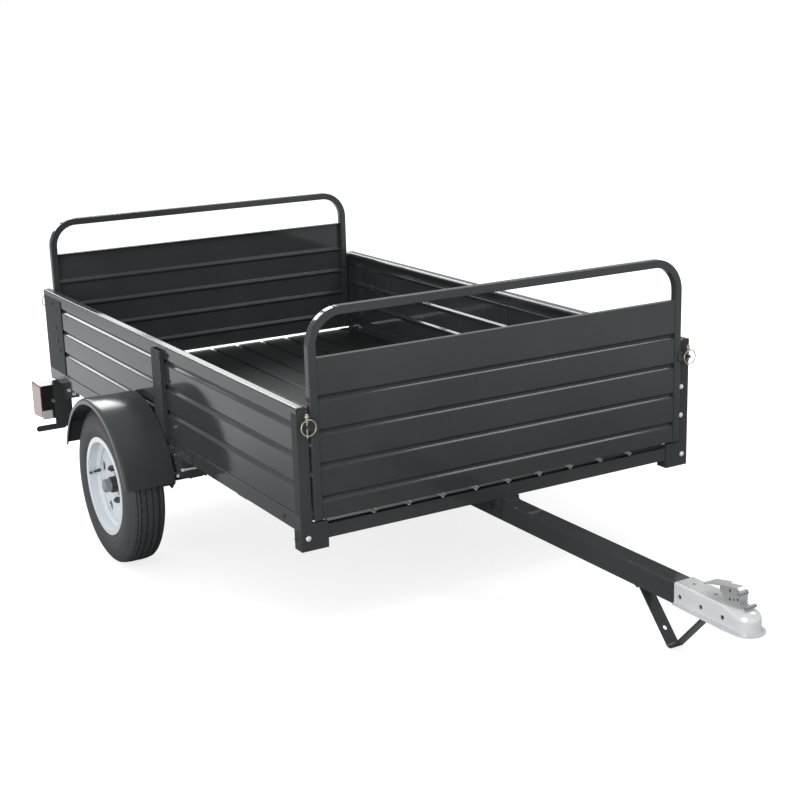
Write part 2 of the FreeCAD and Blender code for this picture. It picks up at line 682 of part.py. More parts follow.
def shackle():
    y0 = WHEEL_Y + EYE_Y
    y1 = y0 + 14
    z1 = 8
    parts = []
    for x in (spring_x - cheek - 8.5, spring_x + cheek + 4.5):
        link = fuse([
            rod(13, (x, y0, EYE_Z), (x + 4, y0, EYE_Z)),
            rod(13, (x, y1, z1), (x + 4, y1, z1)),
            along_x([(y0 - 12.7, EYE_Z + 3), (y0 + 12.7, EYE_Z - 3), (y1 + 12.7, z1 - 3), (y1 - 12.7, z1 + 3)], x, x + 4),
        ])
        parts.append(link)
    x0 = spring_x - cheek - 16
    x1 = spring_x + cheek + 16
    parts.append(rod(EYE_BOLT_R, (x0, y0, EYE_Z), (x1, y0, EYE_Z)))
    parts.append(rod(EYE_BOLT_R, (x0, y1, z1), (x1, y1, z1)))
    return fuse(parts)


hanger = front_hanger()
nodes["spring_hangers_front"] = Part.makeCompound([hanger, flip(hanger)])
link = shackle()
y1 = WHEEL_Y + EYE_Y + 14
hanger = rear_hanger().cut(rod(EYE_BOLT_R + 0.3, (spring_x - 60, y1, 8), (spring_x + 60, y1, 8)))
nodes["spring_hangers_rear"] = Part.makeCompound([hanger, flip(hanger)])
nodes["spring_shackles"] = Part.makeCompound([link, flip(link)])


def clamp():
    x0 = spring_x - SPRING_WIDTH / 2 - 4.75
    x1 = spring_x + SPRING_WIDTH / 2 + 4.75
    low = WHEEL_Z - AXLE / 2
    top = axle_top + pad + 3 * LEAF + 6.6
    parts = [box(spring_x - 36, spring_x + 36, WHEEL_Y - 42, WHEEL_Y + 42, low - 6, low)]
    for s in (-1, 1):
        y = WHEEL_Y + s * 31
        parts.append(rod(4.75, (x0, y, low - 16), (x0, y, top)))
        parts.append(rod(4.75, (x1, y, low - 16), (x1, y, top)))
        parts.append(rod(4.75, (x0, y, top), (x1, y, top)))
        parts.append(Part.makeSphere(4.75, V(x0, y, top)))
        parts.append(Part.makeSphere(4.75, V(x1, y, top)))
    return fuse(parts)


right_clamp = clamp()
nodes["axle_clamps"] = Part.makeCompound([right_clamp, flip(right_clamp)])

# wheels
c = wheel_x
rim = turned([
    (c + RIM_HALF, RIM_FLANGE_R), (c + RIM_HALF - 3, RIM_FLANGE_R), (c + RIM_HALF - 3, BEAD_R),
    (c + 30, BEAD_R - 2), (c + 22, BEAD_R - 17), (c - 10, BEAD_R - 17), (c - 18, BEAD_R - 2),
    (c - RIM_HALF + 3, BEAD_R), (c - RIM_HALF + 3, RIM_FLANGE_R), (c - RIM_HALF, RIM_FLANGE_R),
    (c - RIM_HALF, BEAD_R - 3), (c - 20, BEAD_R - 5), (c - 12, BEAD_R - 20), (c + 24, BEAD_R - 20),
    (c + 32, BEAD_R - 5), (c + RIM_HALF, BEAD_R - 3),
])
disc = turned([
    (disc_x, 33), (disc_x, 78), (disc_x + 10, 104), (disc_x + 10, 134), (disc_x + 14, 134),
    (disc_x + 14, 103), (disc_x + 4, 76), (disc_x + 4, 33),
])
for i in range(5):
    turn = math.radians(90 + 72 * i)
    corners = []
    for r, a in ((103, -0.09), (126, -0.17), (129, 0.0), (126, 0.17), (103, 0.09)):
        corners.append((WHEEL_Y + r * math.cos(turn + a), WHEEL_Z + r * math.sin(turn + a)))
    disc = disc.cut(along_x(corners, disc_x - 5, disc_x + 30))
    turn = math.radians(90 + 36 + 72 * i)
    y = WHEEL_Y + LUG_CIRCLE_R * math.cos(turn)
    z = WHEEL_Z + LUG_CIRCLE_R * math.sin(turn)
    disc = disc.cut(rod(7, (disc_x - 5, y, z), (disc_x + 10, y, z)))
rim = rim.fuse(disc).removeSplitter()
nodes["rim_right"] = rim
nodes["rim_left"] = flip(rim)

h = TYRE_WIDTH / 2
tyre = turned([
    (c - RIM_HALF + 3.3, BEAD_R + 0.3), (c - RIM_HALF + 3.3, RIM_FLANGE_R + 2), (c - h + 3, 190), (c - h, 212),
    (c - h + 5, 238), (c - h + 13, 253), (c - h + 24, 262), (c - h + 40, TYRE_R), (c + h - 40, TYRE_R),
    (c + h - 24, 262), (c + h - 13, 253), (c + h - 5, 238), (c + h, 212), (c + h - 3, 190),
    (c + RIM_HALF - 3.3, RIM_FLANGE_R + 2), (c + RIM_HALF - 3.3, BEAD_R + 0.3),
])
nodes["tyre_right"] = tyre
nodes["tyre_left"] = flip(tyre)

hub = turned([
    (axle_end + 10, SPINDLE_R + SPINDLE_FIT), (axle_end + 10, 30), (disc_x - 56, 34),
    (disc_x - 10, 34), (disc_x - 10, 72), (disc_x, 72),
    (disc_x, HUB_BARREL_R), (hub_end - CAP_REACH, HUB_BARREL_R), (hub_end - CAP_REACH, CAP_R),
    (hub_end - 4, CAP_R), (hub_end, CAP_R - 4), (hub_end, 0),
    (hub_end - 12, 0), (hub_end - 12, SPINDLE_R + SPINDLE_FIT),
])
nodes["hub_right"] = hub
nodes["hub_left"] = flip(hub)


# fenders and the arms that hold them off the side rails
def fender():
    r = FENDER_R
    x0 = fender_in
    x1 = fender_out
    s = FENDER_SKIRT
    profile = sheet([(x0, r), (x1 - 12, r), (x1 - 4, r - 3), (x1, r - 11), (x1, r - s)], SKIN)
    wire = Part.makePolygon([V(p[0], WHEEL_Y - p[1], WHEEL_Z) for p in profile + profile[:1]])
    face = Part.Face(wire)
    face.rotate(V(0, WHEEL_Y, WHEEL_Z), V(1, 0, 0), -FENDER_START)
    return face.revolve(V(0, WHEEL_Y, WHEEL_Z), V(-1, 0, 0), FENDER_END - FENDER_START)


def fender_arm(angle):
    turn = math.radians(angle)
    r = FENDER_R - SKIN - 3.2
    arm = box(half + 4, fender_out - 14, -16, 16, -2.5, 2.5)
    arm.rotate(V(0, 0, 0), V(1, 0, 0), 90 - angle)
    y = WHEEL_Y - r * math.cos(turn)
    z = WHEEL_Z + r * math.sin(turn)
    arm.translate(V(0, y, z))
    foot = box(half, half + 5, y - 22, y + 22, RAIL_LOW + 2, RAIL_HIGH - 2)
    return fuse([arm, foot])


right_fender = fender()
nodes["fender_right"] = right_fender
nodes["fender_left"] = flip(right_fender)
arms = []
for angle in FENDER_ARMS:
    arm = fender_arm(angle)
    arms.append(arm)
    arms.append(flip(arm))
nodes["fender_arms"] = Part.makeCompound(arms)

# rear lamps on their brackets: plate, side bar, flared housing and the lens behind it
plate_in = half - LAMP_PLATE_IN
plate_out = half + LAMP_PLATE_OUT
tab_out = half - 2
bar_low = LAMP_PLATE_LOW - 5
bar_mid = bar_low + LAMP_BAR / 2
bar_end = half + LAMP_BAR_REACH
gusset = [(lamp_y, RAIL_LOW), (lamp_y - 195, RAIL_LOW), (lamp_y - 195, 0), (lamp_y - 95, -26), (lamp_y, -60)]
bracket = fuse([
    box(plate_in, plate_out, lamp_y, lamp_y + PLATE, LAMP_PLATE_LOW, RAIL_LOW),
    box(tab_out - 32, tab_out, lamp_y - 30, lamp_y, RAIL_LOW - PLATE, RAIL_LOW),
    along_x(gusset, tab_out - 27, tab_out - 24),
    box(tab_out - 24, bar_end, lamp_y, lamp_y + PLATE, bar_low, bar_low + LAMP_BAR),
    rod(LAMP_BAR / 2, (bar_end, lamp_y, bar_mid), (bar_end, lamp_y + PLATE, bar_mid)),
])
nodes["lamp_bracket_right"] = bracket
nodes["lamp_bracket_left"] = flip(bracket)

lamp_in = half - LAMP_IN
lamp_out = lamp_in + LAMP_WIDTH
lamp_front = lamp_y + PLATE
lamp_rear = lamp_front + LAMP_DEPTH


def lamp_ring(y, grow):
    x0 = lamp_in - grow / 3
    x1 = lamp_out + grow
    z1 = LAMP_HIGH + grow
    return Part.makePolygon([V(x0, y, LAMP_LOW), V(x1, y, LAMP_LOW), V(x1, y, z1), V(x0, y, z1), V(x0, y, LAMP_LOW)])


lamp = Part.makeLoft([lamp_ring(lamp_front, 0), lamp_ring(lamp_rear, LAMP_FLARE)], True, True)
long_edges = [e for e in lamp.Edges if abs(e.Vertexes[0].Y - e.Vertexes[1].Y) > LAMP_DEPTH / 2]
low_edges = [e for e in long_edges if e.BoundBox.ZMax < LAMP_LOW + 30 and e.BoundBox.XMin > lamp_in + 30]
lamp = lamp.makeFillet(9, [e for e in long_edges if not any(e.isSame(low) for low in low_edges)])
low_edges = [e for e in lamp.Edges if abs(e.Vertexes[0].Y - e.Vertexes[-1].Y) > LAMP_DEPTH / 2
             and e.BoundBox.ZMax < LAMP_LOW + 1 and e.BoundBox.XMin > lamp_out - 5]
lamp = lamp.makeFillet(20, low_edges)
case = box(0, lamp_out - LENS_SIDE, lamp_front - 1, lamp_rear - LENS_DEPTH, LAMP_LOW - 1, LAMP_HIGH + LAMP_FLARE + 1)
nodes["lamp_housing_right"] = lamp.common(case)
nodes["lamp_housing_left"] = flip(nodes["lamp_housing_right"])
nodes["lamp_lens_right"] = lamp.cut(case)
nodes["lamp_lens_left"] = flip(nodes["lamp_lens_right"])

# parked pose: the tyres and the rounded foot of the stand touch the floor
foot_r = STAND_BEND + STAND_T
foot_z = STAND_LOW + foot_r
reach = math.hypot(WHEEL_Y - STAND_Y, WHEEL_Z - foot_z)
pitch = math.asin((TYRE_R - foot_r) / reach) - math.atan2(WHEEL_Z - foot_z, WHEEL_Y - STAND_Y)
pose = FreeCAD.Placement(V(0, 0, 0), FreeCAD.Rotation(V(1, 0, 0), math.degrees(pitch)))
placed = {}
for name, shape in nodes.items():
    copy = shape.copy()
    copy.Placement = pose.multiply(copy.Placement)
    placed[name] = copy
whole = Part.makeCompound(list(placed.values())).optimalBoundingBox()
wheel_centre = pose.multVec(V(0, WHEEL_Y, WHEEL_Z))
shift = V(0, -(whole.YMin + whole.YMax) / 2, TYRE_R - wheel_centre.z)

os.makedirs("parts", exist_ok=True)
for name, shape in placed.items():
    shape.translate(shift)
    shape.exportStep("parts/" + name + ".step")


def spot(x, y, z):
    p = pose.multVec(V(x, y, z)) + shift
    return [round(p.x, 3), round(p.y, 3), round(p.z, 3)]


print("pitch", round(math.degrees(pitch), 4), "shift", shift)
print("front pivot", spot(0, GATE_Y, PIVOT_Z))
print("rear pivot", spot(0, BED_LENGTH - GATE_Y, PIVOT_Z))
print("wheel", spot(wheel_x, WHEEL_Y, WHEEL_Z))
print("ball", spot(0, BALL_Y, dome_z))
print("box", whole.YMin + shift.y, whole.YMax + shift.y, whole.ZMin + shift.z, whole.ZMax + shift.z, whole.XMax)
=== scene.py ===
import json
import math

import bmesh
import bpy
from bpy.props import FloatProperty, FloatVectorProperty, IntProperty, PointerProperty
from bpy.types import Operator, Panel, PropertyGroup
from mathutils import Matrix, Vector

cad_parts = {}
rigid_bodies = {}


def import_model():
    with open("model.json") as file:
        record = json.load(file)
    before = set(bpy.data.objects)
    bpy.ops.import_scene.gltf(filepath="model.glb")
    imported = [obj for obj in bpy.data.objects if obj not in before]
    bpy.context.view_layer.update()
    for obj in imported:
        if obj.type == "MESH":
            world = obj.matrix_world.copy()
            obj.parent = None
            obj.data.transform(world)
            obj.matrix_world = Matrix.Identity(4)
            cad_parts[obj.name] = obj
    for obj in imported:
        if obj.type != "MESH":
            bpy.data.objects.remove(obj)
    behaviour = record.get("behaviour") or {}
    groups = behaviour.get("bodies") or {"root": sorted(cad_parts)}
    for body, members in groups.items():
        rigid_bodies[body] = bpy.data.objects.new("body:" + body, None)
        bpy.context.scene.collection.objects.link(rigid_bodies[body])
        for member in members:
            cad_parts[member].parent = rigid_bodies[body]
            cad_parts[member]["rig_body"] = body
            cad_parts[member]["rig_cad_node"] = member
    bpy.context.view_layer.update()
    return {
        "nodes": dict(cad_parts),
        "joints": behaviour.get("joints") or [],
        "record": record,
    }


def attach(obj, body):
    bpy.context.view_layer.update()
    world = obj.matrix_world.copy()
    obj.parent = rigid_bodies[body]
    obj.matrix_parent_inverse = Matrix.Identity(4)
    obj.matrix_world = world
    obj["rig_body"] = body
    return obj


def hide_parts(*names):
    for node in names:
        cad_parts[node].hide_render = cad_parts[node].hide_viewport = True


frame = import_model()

bl_info = {
    "name": "Utility Trailer Finish",
    "version": (1, 0, 0),
    "blender": (4, 5, 0),
    "location": "View3D > Sidebar > Trailer",
    "description": "Paint, rubber, zinc, bolts, tyres, lamps and pins for a small utility trailer",
    "category": "Object",
}

# The trailer is drawn level, with y = 0 at the front of the bed and z = 0 under its
# front beam, and stands nose down. The two gate pivots give that tilt.
PIVOT_Y = 0.0035
PIVOT_Z = 0.078


def level_frame():
    """Matrix from the level trailer to the parked trailer."""
    spots = {j["name"]: Vector(j["pos_m"]) for j in frame["joints"]}
    front = spots["front_gate_tilt"]
    rear = spots["rear_gate_tilt"]
    pitch = math.atan2(rear.z - front.z, rear.y - front.y)
    turn = Matrix.Rotation(pitch, 4, "X")
    return Matrix.Translation(front - turn @ Vector((0, PIVOT_Y, PIVOT_Z))) @ turn


LEVEL = level_frame()
SPOTS = {j["name"]: LEVEL.inverted() @ Vector(j["pos_m"]) for j in frame["joints"]}
WHEEL = SPOTS["wheel_right_spin"]
BED_LENGTH = SPOTS["rear_gate_tilt"].y + PIVOT_Y
HALF_BED = 0.686
PLATE = 0.003
SIDES = ((-1, "left"), (1, "right"))


# Settings


class TrailerFinish(PropertyGroup):
    """Colours of the trailer's finishes."""

    paint: FloatVectorProperty(
        name="Black paint", description="Powder coat on the bed, gates and tongue",
        default=(0.0385, 0.0445, 0.0460), subtype="COLOR", min=0, max=1)
    paint_rough: FloatProperty(
        name="Paint roughness", description="Roughness of the powder coat",
        default=0.09, min=0, max=1, subtype="FACTOR")
    rim_white: FloatVectorProperty(
        name="Rim white", description="Paint on the wheel rims",
        default=(0.71, 0.76, 0.80), subtype="COLOR", min=0, max=1)
    zinc: FloatVectorProperty(
        name="Bright zinc", description="Plating on the coupler, bolts and nuts",
        default=(0.84, 0.87, 0.90), subtype="COLOR", min=0, max=1)
    yellow_zinc: FloatVectorProperty(
        name="Yellow zinc", description="Plating on the linch pins",
        default=(0.54, 0.50, 0.39), subtype="COLOR", min=0, max=1)
    rubber: FloatVectorProperty(
        name="Rubber", description="Tyre rubber",
        default=(0.046, 0.050, 0.054), subtype="COLOR", min=0, max=1)
    lens: FloatVectorProperty(
        name="Lens red", description="Rear lamp lenses",
        default=(0.20, 0.006, 0.008), subtype="COLOR", min=0, max=1)
    plastic: FloatVectorProperty(
        name="Lamp black", description="Lamp housings",
        default=(0.014, 0.014, 0.015), subtype="COLOR", min=0, max=1)


class TrailerParts(PropertyGroup):
    """Sizes of the small parts."""

    edge_round: FloatProperty(
        name="Cut edge", description="Rounding of cut sheet edges",
        default=0.0006, min=0.0001, max=0.003, subtype="DISTANCE", unit="LENGTH")
    fold_round: FloatProperty(
        name="Fold", description="Rounding of the pressed ribs' folds",
        default=0.0022, min=0.0001, max=0.005, subtype="DISTANCE", unit="LENGTH")
    bolt_head: FloatProperty(
        name="Bolt head", description="Width across the flats of the frame bolts",
        default=0.013, min=0.005, max=0.03, subtype="DISTANCE", unit="LENGTH")
    tread_blocks: IntProperty(
        name="Tread blocks", description="Cuts round each tyre in one rib",
        default=60, min=24, max=120)
    tread_depth: FloatProperty(
        name="Tread depth", description="Depth of the tyre grooves",
        default=0.005, min=0.001, max=0.01, subtype="DISTANCE", unit="LENGTH")


class TrailerStage(PropertyGroup):
    """Camera and light."""

    lens: FloatProperty(
        name="Lens", description="Focal length on a 36 mm sensor",
        default=66.447, min=20, max=200)
    floor_size: FloatProperty(
        name="Floor", description="Side of the studio floor",
        default=60.0, min=5, max=200, subtype="DISTANCE", unit="LENGTH")
    sky_fill: FloatProperty(
        name="Sky fill", description="Strength of the soft light from all round",
        default=0.9, min=0, max=2)
    sky_gloss: FloatProperty(
        name="Sky gloss", description="Brightness of the surroundings in reflections",
        default=0.6, min=0, max=2)


# Mesh helpers

MERGE = 0.00002
AXIS_TURN = {"X": (0, math.pi / 2, 0), "Y": (math.pi / 2, 0, 0), "Z": (0, 0, 0)}
LEFT, RIGHT, FORWARD, DOWN = ((-1, 0, 0), (1, 0, 0), (0, -1, 0), (0, 0, -1))
OUTWARD = {-1: LEFT, 1: RIGHT}


def deselect():
    if bpy.context.object and bpy.context.object.mode != "OBJECT":
        bpy.ops.object.mode_set(mode="OBJECT")
    bpy.ops.object.select_all(action="DESELECT")


def only(obj):
    """Selects one object and makes it active."""
    deselect()
    obj.select_set(True)
    bpy.context.view_layer.objects.active = obj
    return obj


def applied(obj, place=True):
    """Puts an object's size, and its place and turn if wanted, into its mesh."""
    only(obj)
    bpy.ops.object.transform_apply(location=place, rotation=place, scale=True)
    return obj


def new_cylinder(radius, depth, centre, axis="Z", sides=24):
    deselect()
    bpy.ops.mesh.primitive_cylinder_add(
        vertices=sides, radius=radius, depth=depth, location=centre, rotation=AXIS_TURN[axis])
    return bpy.context.object


def new_box(size, centre):
    deselect()
    bpy.ops.mesh.primitive_cube_add(size=1, location=centre)
    obj = bpy.context.object
    obj.scale = size
    return applied(obj, place=False)


def new_ring(major, minor, centre, axis, around, across):
    deselect()
    bpy.ops.mesh.primitive_torus_add(
        major_radius=major, minor_radius=minor, major_segments=around, minor_segments=across,
        location=centre, rotation=AXIS_TURN[axis])
    return bpy.context.object


def edit(obj):
    """Opens one object in edit mode with nothing selected."""
    only(obj)
    bpy.ops.object.mode_set(mode="EDIT")
    bpy.ops.mesh.select_all(action="DESELECT")


def pick_faces(obj, wanted):
    """Selects the faces of the open object that a test on centre and normal picks."""
    mesh = bmesh.from_edit_mesh(obj.data)
    bpy.ops.mesh.select_mode(type="FACE")
    for face in mesh.faces:
        face.select_set(bool(wanted(face.calc_center_median(), face.normal)))
    mesh.select_flush_mode()
    bmesh.update_edit_mesh(obj.data)


def far_end(centre, normal):
    """Picks the end face of a primitive along its own +Z."""
    return normal.z > 0.98


def near_end(centre, normal):
    """Picks the end face of a primitive along its own -Z."""
    return normal.z < -0.98


def stepped(obj, steps, wanted=far_end):
    """Insets and pushes an end face again and again, each step as inset and push."""
    edit(obj)
    pick_faces(obj, wanted)
    for thickness, depth in steps:
        bpy.ops.mesh.inset(thickness=thickness, depth=depth)
    bpy.ops.object.mode_set(mode="OBJECT")
    return obj


def outward(obj):
    """Turns all faces of an object outwards."""
    edit(obj)
    bpy.ops.mesh.select_all(action="SELECT")
    bpy.ops.mesh.normals_make_consistent(inside=False)
    bpy.ops.object.mode_set(mode="OBJECT")
    return obj


def drawn_line(points):
    """A line of vertices drawn by extruding one vertex from point to point."""
    deselect()
    bpy.ops.mesh.primitive_plane_add(size=0.01, location=points[0])
    obj = bpy.context.object
    bpy.ops.object.mode_set(mode="EDIT")
    bpy.ops.mesh.select_mode(type="VERT")
    bpy.ops.mesh.select_all(action="SELECT")
    bpy.ops.mesh.merge(type="CENTER")
    for a, b in zip(points, points[1:]):
        bpy.ops.mesh.extrude_region_move(
            TRANSFORM_OT_translate={"value": Vector(b) - Vector(a)})
    bpy.ops.object.mode_set(mode="OBJECT")
    return obj


def spun(profile, centre, axis, steps):
    """A closed ring turned from a profile line about an axis."""
    obj = drawn_line(profile)
    edit(obj)
    bpy.ops.mesh.select_all(action="SELECT")
    bpy.ops.mesh.spin(steps=steps, angle=2 * math.pi, center=centre, axis=axis)
    bpy.ops.mesh.select_all(action="SELECT")
    bpy.ops.mesh.remove_doubles(threshold=MERGE)
    bpy.ops.object.mode_set(mode="OBJECT")
    return outward(obj)


def tube(points, radius, sides):
    """A round bar that follows points."""
    obj = only(drawn_line(points))
    bpy.ops.object.convert(target="CURVE")
    obj.data.bevel_depth = radius
    obj.data.bevel_resolution = sides
    obj.data.use_fill_caps = True
    only(obj)
    bpy.ops.object.convert(target="MESH")
    return obj


def modified(obj, kind, **settings):
    """Applies one modifier with its settings."""
    only(obj)
    bpy.ops.object.modifier_add(type=kind)
    modifier = obj.modifiers[-1]
    for key, value in settings.items():
        setattr(modifier, key, value)
    bpy.ops.object.modifier_apply(modifier=modifier.name)
    return obj


def bevel(obj, width, segments=2, angle=30.0):
    return modified(obj, "BEVEL", width=width, segments=segments, limit_method="ANGLE",
                    angle_limit=math.radians(angle), use_clamp_overlap=False,
                    harden_normals=False)


def smooth(obj, angle=35.0):
    only(obj)
    bpy.ops.object.shade_smooth_by_angle(angle=math.radians(angle))
    return obj


def flat_faced(obj, angle=35.0):
    """Smooth shading that keeps large flat faces flat between their rounded edges."""
    return modified(smooth(obj, angle), "WEIGHTED_NORMAL", mode="FACE_AREA", weight=100,
                    keep_sharp=True)


def join(objects, name):
    deselect()
    for obj in objects:
        obj.select_set(True)
    bpy.context.view_layer.objects.active = objects[0]
    if len(objects) > 1:
        bpy.ops.object.join()
    obj = bpy.context.object
    obj.name = name
    return obj


def copy_of(obj, move=Matrix.Identity(4)):
    """A copy with its own mesh, moved by a matrix."""
    only(obj)
    bpy.ops.object.duplicate(linked=False)
    twin = bpy.context.object
    twin.matrix_world = move @ twin.matrix_world
    return twin


def mirrored(obj):
    """The same piece for the left side."""
    twin = applied(copy_of(obj))
    twin.scale = (-1, 1, 1)
    return outward(applied(twin))


def facing(normal):
    """Rotation that turns +Z to a direction."""
    return Vector(normal).to_track_quat("Z", "Y").to_matrix().to_4x4()


def discard(*objects):
    deselect()
    for obj in objects:
        obj.select_set(True)
    bpy.ops.object.delete()


def settle(obj, name, body, material, replaced=(), level=True):
    """Puts the place in the mesh, tips it with the trailer and lets it ride on its body."""
    deselect()
    bpy.context.view_layer.update()
    obj.name = name
    obj.data.name = name
    obj.data.transform((LEVEL if level else Matrix.Identity(4)) @ obj.matrix_world)
    obj.matrix_world = Matrix.Identity(4)
    obj.data.materials.clear()
    obj.data.materials.append(material)
    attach(obj, body)
    if replaced:
        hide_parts(*replaced)
    return obj


# Materials


def set_inputs(node, values):
    for key, value in values.items():
        node.inputs[key].default_value = value


def new_node(tree, kind, values=None, **settings):
    """A shader node with its own settings and some of its inputs set."""
    node = tree.nodes.new(kind)
    for key, value in settings.items():
        setattr(node, key, value)
    set_inputs(node, values or {})
    return node


def new_material(name):
    material = bpy.data.materials.new(name)
    material.use_nodes = True
    return material


def shader_in(material):
    """A material's node tree and its main shader."""
    return material.node_tree, material.node_tree.nodes["Principled BSDF"]


def wire(tree, *rows):
    """Links nodes, each row as source node, output, target node, input."""
    for source, out, target, into in rows:
        tree.links.new(source.outputs[out], target.inputs[into])


def node_group(name, inputs, outputs, build):
    """A shader node group of values, built when it is first asked for."""
    group = bpy.data.node_groups.get(name)
    if group:
        return group
    group = bpy.data.node_groups.new(name, "ShaderNodeTree")
    for label, default in inputs.items():
        made = group.interface.new_socket(
            name=label, in_out="INPUT", socket_type="NodeSocketFloat")
        made.default_value = default
    for label in outputs:
        group.interface.new_socket(name=label, in_out="OUTPUT", socket_type="NodeSocketFloat")
    build(group, new_node(group, "NodeGroupInput"), new_node(group, "NodeGroupOutput"))
    return group


def build_grain(tree, start, end):
    """Two sizes of noise: a mask that mixes them and a height from the fine one."""
    place = new_node(tree, "ShaderNodeTexCoord")
    fine = new_node(tree, "ShaderNodeTexNoise", {"Detail": 3.0})
    broad = new_node(tree, "ShaderNodeTexNoise", {"Scale": 3.2, "Detail": 5.0})
    ramp = new_node(tree, "ShaderNodeMapRange", {"From Min": 0.38, "From Max": 0.66})
    blend = new_node(tree, "ShaderNodeMix")
    wire(tree,
         (place, "Object", fine, "Vector"),
         (place, "Object", broad, "Vector"),
         (start, "Scale", fine, "Scale"),
         (broad, "Fac", ramp, "Value"),
         (start, "Spread", blend, "Factor"),
         (ramp, "Result", blend, "A"),
         (fine, "Fac", blend, "B"),
         (blend, "Result", end, "Mask"),
         (fine, "Fac", end, "Height"))


def build_dust(tree, start, end):
    """More dust on faces that look up, broken by noise."""
    place = new_node(tree, "ShaderNodeTexCoord")
    surface = new_node(tree, "ShaderNodeNewGeometry")
    parts = new_node(tree, "ShaderNodeSeparateXYZ")
    up = new_node(tree, "ShaderNodeMapRange", {"From Min": 0.2, "From Max": 1.0})
    noise = new_node(tree, "ShaderNodeTexNoise", {"Scale": 9.0, "Detail": 8.0, "Roughness": 0.65})
    broken = new_node(tree, "ShaderNodeMath", operation="MULTIPLY")
    scaled = new_node(tree, "ShaderNodeMath", operation="MULTIPLY")
    wire(tree,
         (place, "Object", noise, "Vector"),
         (surface, "Normal", parts, "Vector"),
         (parts, "Z", up, "Value"),
         (up, "Result", broken, 0),
         (noise, "Fac", broken, 1),
         (broken, "Value", scaled, 0),
         (start, "Amount", scaled, 1),
         (scaled, "Value", end, "Mask"))


def grain_group():
    return node_group("Surface Grain", {"Scale": 200.0, "Spread": 0.35}, ("Mask", "Height"),
                      build_grain)


def dust_group():
    return node_group("Settled Dust", {"Amount": 0.2}, ("Mask",), build_dust)


DUST_GREY = (0.42, 0.42, 0.40, 1)
COAT_ROUGH = 0.04
RELIEF = 0.001


def tint(colour, factor):
    return (*(min(1.0, c * factor) for c in colour), 1.0)


def finish_material(name, colour, rough, metallic=0.0, grain=200.0, bump=0.02, contrast=0.18,
                    rough_range=0.08, coat=0.0, dust=0.0, specular=0.5):
    """A painted, plated or moulded finish with grain in its colour, gloss and relief."""
    material = new_material(name)
    tree, shader = shader_in(material)
    set_inputs(shader, {"Metallic": metallic, "Specular IOR Level": specular,
                        "Coat Weight": coat, "Coat Roughness": COAT_ROUGH})
    grains = new_node(tree, "ShaderNodeGroup", {"Scale": grain}, node_tree=grain_group())
    shade = new_node(tree, "ShaderNodeMix", {
        "A": tint(colour, 1 - contrast), "B": tint(colour, 1 + contrast)}, data_type="RGBA")
    gloss = new_node(tree, "ShaderNodeMapRange", {
        "To Min": max(0.02, rough - rough_range), "To Max": min(1.0, rough + rough_range)})
    relief = new_node(tree, "ShaderNodeBump", {"Strength": bump, "Distance": RELIEF})
    wire(tree,
         (grains, "Mask", shade, "Factor"),
         (grains, "Mask", gloss, "Value"),
         (grains, "Height", relief, "Height"),
         (gloss, "Result", shader, "Roughness"),
         (relief, "Normal", shader, "Normal"))
    if dust:
        settled = new_node(tree, "ShaderNodeGroup", {"Amount": dust}, node_tree=dust_group())
        dusty = new_node(tree, "ShaderNodeMix", {"B": DUST_GREY}, data_type="RGBA")
        wire(tree, (settled, "Mask", dusty, "Factor"), (shade, "Result", dusty, "A"))
        shade = dusty
    wire(tree, (shade, "Result", shader, "Base Color"))
    return material


# Painted shade: the grey that the rim's barrel takes behind its disc.
BARREL_SHADE_GREY = (0.10, 0.105, 0.11, 1)
# How far behind the rim's disc the grey is full, how far behind it starts, and how much.
BARREL_FULL = 0.014
BARREL_START = 0.004
BARREL_SHARE = 0.85


def paint_barrel_shade(material):
    """Greys a rim's barrel behind its disc: painted shade, on paint that is white throughout."""
    tree, shader = shader_in(material)
    paint = shader.inputs["Base Color"].links[0].from_socket
    place = new_node(tree, "ShaderNodeTexCoord")
    parts = new_node(tree, "ShaderNodeSeparateXYZ")
    reach = new_node(tree, "ShaderNodeMath", operation="ABSOLUTE")
    behind = new_node(tree, "ShaderNodeMapRange", {
        "From Min": DISC_X - BARREL_FULL, "From Max": DISC_X - BARREL_START,
        "To Min": BARREL_SHARE, "To Max": 0.0}, interpolation_type="SMOOTHSTEP")
    shaded = new_node(tree, "ShaderNodeMix", {"B": BARREL_SHADE_GREY}, data_type="RGBA")
    tree.links.new(paint, shaded.inputs["A"])
    wire(tree,
         (place, "Object", parts, "Vector"),
         (parts, "X", reach, 0),
         (reach, "Value", behind, "Value"),
         (behind, "Result", shaded, "Factor"),
         (shaded, "Result", shader, "Base Color"))


# A painted reflection: the lens's red turns towards this pale colour at a glance.
LENS_SHEEN_PALE = (0.42, 0.33, 0.33, 1)


def mould_lens_and_sheen(material):
    """Makes a red lens paler at a glance, a painted reflection, with fine prism rows inside it."""
    tree, shader = shader_in(material)
    set_inputs(shader, {"Transmission Weight": 0.10})
    red = shader.inputs["Base Color"].links[0].from_socket
    glance = new_node(tree, "ShaderNodeLayerWeight", {"Blend": 0.35})
    reach = new_node(tree, "ShaderNodeMapRange", {"From Min": 0.25, "From Max": 0.40})
    pale = new_node(tree, "ShaderNodeMix", {"B": LENS_SHEEN_PALE}, data_type="RGBA")
    place = new_node(tree, "ShaderNodeTexCoord")
    rows = new_node(tree, "ShaderNodeTexWave", {"Scale": 60}, wave_type="BANDS",
                    bands_direction="X")
    relief = new_node(tree, "ShaderNodeBump", {"Strength": 0.25, "Distance": RELIEF})
    tree.links.new(red, pale.inputs["A"])
    wire(tree,
         (glance, "Facing", reach, "Value"),
         (reach, "Result", pale, "Factor"),
         (pale, "Result", shader, "Base Color"),
         (place, "Object", rows, "Vector"),
         (rows, "Fac", relief, "Height"),
         (relief, "Normal", shader, "Normal"))


